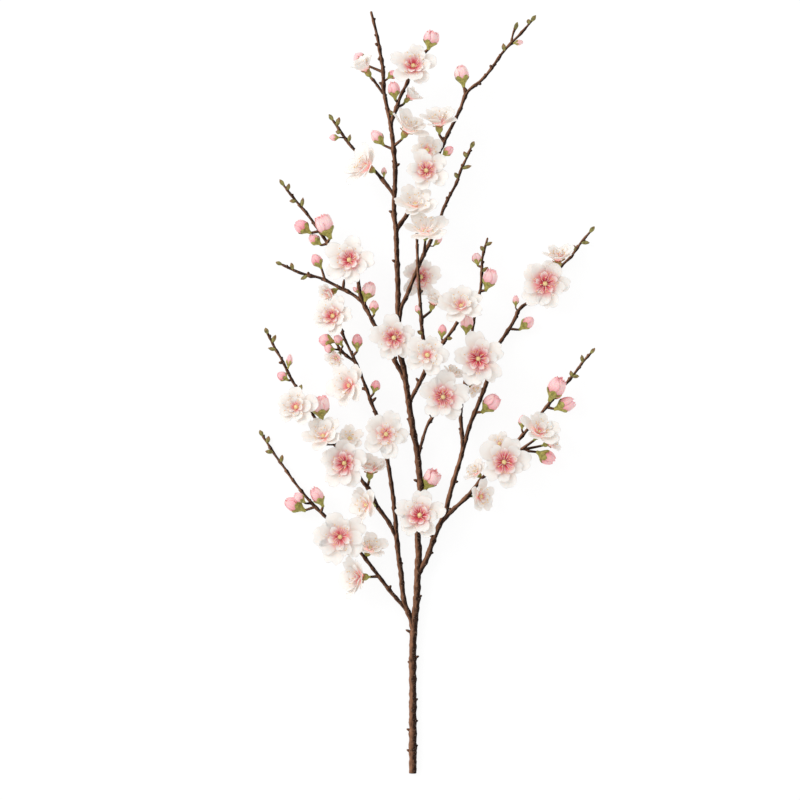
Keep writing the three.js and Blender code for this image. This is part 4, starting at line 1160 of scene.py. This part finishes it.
class PlumBloomSettings(bpy.types.PropertyGroup):
    petal_thickness: FloatProperty(
        name="Petal thickness", description="Thickness in the middle of a petal",
        default=0.3 * MM, unit="LENGTH")
    stamen_count: IntProperty(
        name="Stamens", description="Stamens in an open bloom", default=26)
    blush: FloatProperty(
        name="Blush", description="Strength of the blush of all blooms", default=1.0)
    streaks: FloatProperty(
        name="Streaks", description="Number of streaks across a petal", default=9.0)
    ivory: FloatVectorProperty(
        name="Ivory", description="Colour of the petals' tips", subtype="COLOR", size=3,
        default=linear(234, 228, 222)[:3])
    # Deep ivory: a painted shade for the middle and foot of a petal.
    ivory_painted_shade: FloatVectorProperty(
        name="Deep ivory", description="Colour of a pale petal's middle", subtype="COLOR",
        size=3, default=linear(212, 198, 190)[:3])
    rose: FloatVectorProperty(
        name="Rose", description="Soft blush", subtype="COLOR", size=3,
        default=linear(237, 112, 126)[:3])
    crimson: FloatVectorProperty(
        name="Crimson", description="Streaks at the claws", subtype="COLOR", size=3,
        default=linear(178, 22, 48)[:3])


class PlumStageSettings(bpy.types.PropertyGroup):
    plan_centre: FloatVectorProperty(
        name="View centre", description="Plan place at the middle of the view", size=2,
        default=(-13.0, 378.0))
    view_width: FloatProperty(
        name="View width", description="Width of the view at the branch", default=0.544,
        unit="LENGTH")
    lens: FloatProperty(
        name="Lens", description="Focal length", default=85.0, unit="CAMERA")
    key_power: FloatProperty(
        name="Key light", description="Power of the large light at the upper left",
        default=12.0, unit="POWER")


# ---- Operators ----
def hand_over(piece, slot, *nodes):
    """Rides a piece on the branch's body in place of its CAD nodes."""
    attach(piece, "root")
    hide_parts(*nodes)


class PLUM_OT_wood(bpy.types.Operator):
    """Grow the bark: limbs, spurs, stalks and woody stubs"""
    bl_idname = "plum.wood"
    bl_label = "Wood"

    def execute(self, context):
        settings = context.scene.plum_wood
        growth = Growth()
        nodes = {name: [] for name in LIMB_PATHS}
        for limb, foot, axis, thick in seats():
            growth.add(*stalk_skin(limb, foot, axis, thick), 0)
            nodes[limb].append(nearest(limb, foot, back=0.7)[1])
        for limb, x, y in STUBS:
            growth.add(*stub_skin(limb, x, y), 0)
            nodes[limb].append(nearest(limb, place([x, y, 15]))[1])
        for limb, x, y in GREEN_BUDS:
            nodes[limb].append(nearest(limb, place([x, y, 20]), back=0.8)[1])
        rng = np.random.default_rng(21)
        for name, base, tip, power, _ in LIMBS:
            for along, seat, forward, out in scar_nodes(name, rng, settings.scar_spacing):
                thick = STEP * (tip + base) / 2 * 0.8
                growth.add(*knob_skin(seat, forward, out, thick, rng), 0)
                nodes[name].append(along)
            sides = 22 if name == "main" else 14
            growth.add(*limb_skin(settings, name, base, tip, power, nodes[name], sides), 0)
        hand_over(growth.build("bark", [material("bark")]), "bark", "wood")
        return {"FINISHED"}


class PLUM_OT_leaf_buds(bpy.types.Operator):
    """Set the green leaf buds on the twigs"""
    bl_idname = "plum.leaf_buds"
    bl_label = "Leaf buds"

    def execute(self, context):
        growth = Growth()
        rng = np.random.default_rng(5)
        for limb, x, y in GREEN_BUDS:
            beside, _ = nearest(limb, place([x, y, 20]))
            tip = place([x, y, 0])
            tip[2] = beside[2] + rng.uniform(0.3, 1.2) * MM
            leaf_bud(growth, nearest(limb, tip, back=0.8)[0], tip, rng)
        hand_over(growth.build("leaf_buds", [material("leaf_bud")]), "bark", "wood")
        return {"FINISHED"}


class PLUM_OT_small_buds(bpy.types.Operator):
    """Set the closed pink buds on their stalks"""
    bl_idname = "plum.small_buds"
    bl_label = "Small pink buds"

    def execute(self, context):
        growth = Growth()
        rng = np.random.default_rng(11)
        for _, base, tip, width in SMALL_BUDS:
            add_bud(growth, place(base), place(tip), width * STEP, 0.0, rng)
        piece = growth.build("small_buds", [material("bud_petal"), material("bud_calyx")])
        hand_over(piece, "bud", "wood")
        return {"FINISHED"}


class PLUM_OT_opening_buds(bpy.types.Operator):
    """Set the larger, opening buds"""
    bl_idname = "plum.opening_buds"
    bl_label = "Opening buds"

    def execute(self, context):
        for name, _, base, tip, width, openness in OPENING_BUDS:
            growth = Growth()
            rng = np.random.default_rng(int(name[-2:]) + 100)
            add_bud(growth, place(base), place(tip), width * STEP, openness, rng)
            piece = growth.build(f"{name}_petals", [material("bud_petal"), material("bud_calyx")])
            hand_over(piece, "bud", name)
        return {"FINISHED"}


class PLUM_OT_blooms(bpy.types.Operator):
    """Open the blossoms"""
    bl_idname = "plum.blooms"
    bl_label = "Blossoms"

    def execute(self, context):
        for row in BLOOMS:
            hand_over(bloom(context.scene.plum_bloom, row), "petal", row[0])
        return {"FINISHED"}


class PLUM_OT_stage(bpy.types.Operator):
    """Pale floor, soft light from the upper left and a camera that looks straight down"""
    bl_idname = "plum.stage"
    bl_label = "Stage"

    def execute(self, context):
        settings = context.scene.plum_stage
        half = 12.0
        mesh = bpy.data.meshes.new("floor")
        mesh.from_pydata([(-half, -half, 0), (half, -half, 0), (half, half, 0), (-half, half, 0)],
                         [], [(0, 1, 2, 3)])
        floor = bpy.data.objects.new("floor", mesh)
        context.scene.collection.objects.link(floor)
        made, _, shader = begin("paper")
        shader.inputs["Base Color"].default_value = (0.14, 0.14, 0.14, 1)
        shader.inputs["Roughness"].default_value = 1.0
        shader.inputs["Specular IOR Level"].default_value = 0.0
        shader.inputs["Emission Color"].default_value = (1, 1, 1, 1)
        shader.inputs["Emission Strength"].default_value = 0.88
        mesh.materials.append(made)
        world = bpy.data.worlds.new("studio")
        world.use_nodes = True
        world.node_tree.nodes["Background"].inputs[0].default_value = (1, 1, 1, 1)
        world.node_tree.nodes["Background"].inputs[1].default_value = 0.84
        context.scene.world = world
        key = bpy.data.lights.new("key", "AREA")
        key.shape = "DISK"
        key.size = 1.1
        key.energy = settings.key_power
        lamp = bpy.data.objects.new("key", key)
        lamp.location = (-1.15, 0.7, 1.0)
        aim = np.array(lamp.location)
        lamp.rotation_euler = (math.atan2(math.hypot(aim[0], aim[1]), aim[2]), 0,
                               math.atan2(aim[1], aim[0]) + math.pi / 2)
        context.scene.collection.objects.link(lamp)
        camera = bpy.data.cameras.new("camera")
        camera.lens = settings.lens
        camera.sensor_width = 36.0
        seen = place([settings.plan_centre[0], settings.plan_centre[1], 30])
        eye = bpy.data.objects.new("camera", camera)
        distance = settings.view_width / 2 / (camera.sensor_width / 2 / camera.lens)
        eye.location = (seen[0], seen[1], seen[2] + distance)
        context.scene.collection.objects.link(eye)
        context.scene.camera = eye
        context.scene.view_settings.view_transform = "Standard"
        return {"FINISHED"}


class PLUM_PT_panel(bpy.types.Panel):
    """The branch's steps and settings"""
    bl_label = "Plum Branch"
    bl_idname = "PLUM_PT_panel"
    bl_space_type = "VIEW_3D"
    bl_region_type = "UI"
    bl_category = "Plum"

    def draw(self, context):
        for step in STEPS:
            self.layout.operator(step.bl_idname)
        for owner in (context.scene.plum_wood, context.scene.plum_bloom,
                      context.scene.plum_stage):
            for key in owner.__annotations__:
                self.layout.prop(owner, key)


STEPS = (PLUM_OT_wood, PLUM_OT_leaf_buds, PLUM_OT_small_buds, PLUM_OT_opening_buds,
         PLUM_OT_blooms, PLUM_OT_stage)
GROUPS = {"plum_wood": PlumWoodSettings, "plum_bloom": PlumBloomSettings,
          "plum_stage": PlumStageSettings}


def register():
    for made in (*GROUPS.values(), *STEPS, PLUM_PT_panel):
        bpy.utils.register_class(made)
    for key, made in GROUPS.items():
        setattr(bpy.types.Scene, key, PointerProperty(type=made))


def unregister():
    for key in GROUPS:
        delattr(bpy.types.Scene, key)
    for made in reversed((*GROUPS.values(), *STEPS, PLUM_PT_panel)):
        bpy.utils.unregister_class(made)


def main():
    register()
    for step in (bpy.ops.plum.wood, bpy.ops.plum.leaf_buds, bpy.ops.plum.small_buds,
                 bpy.ops.plum.opening_buds, bpy.ops.plum.blooms, bpy.ops.plum.stage):
        step()


if __name__ == "__main__":
    main()
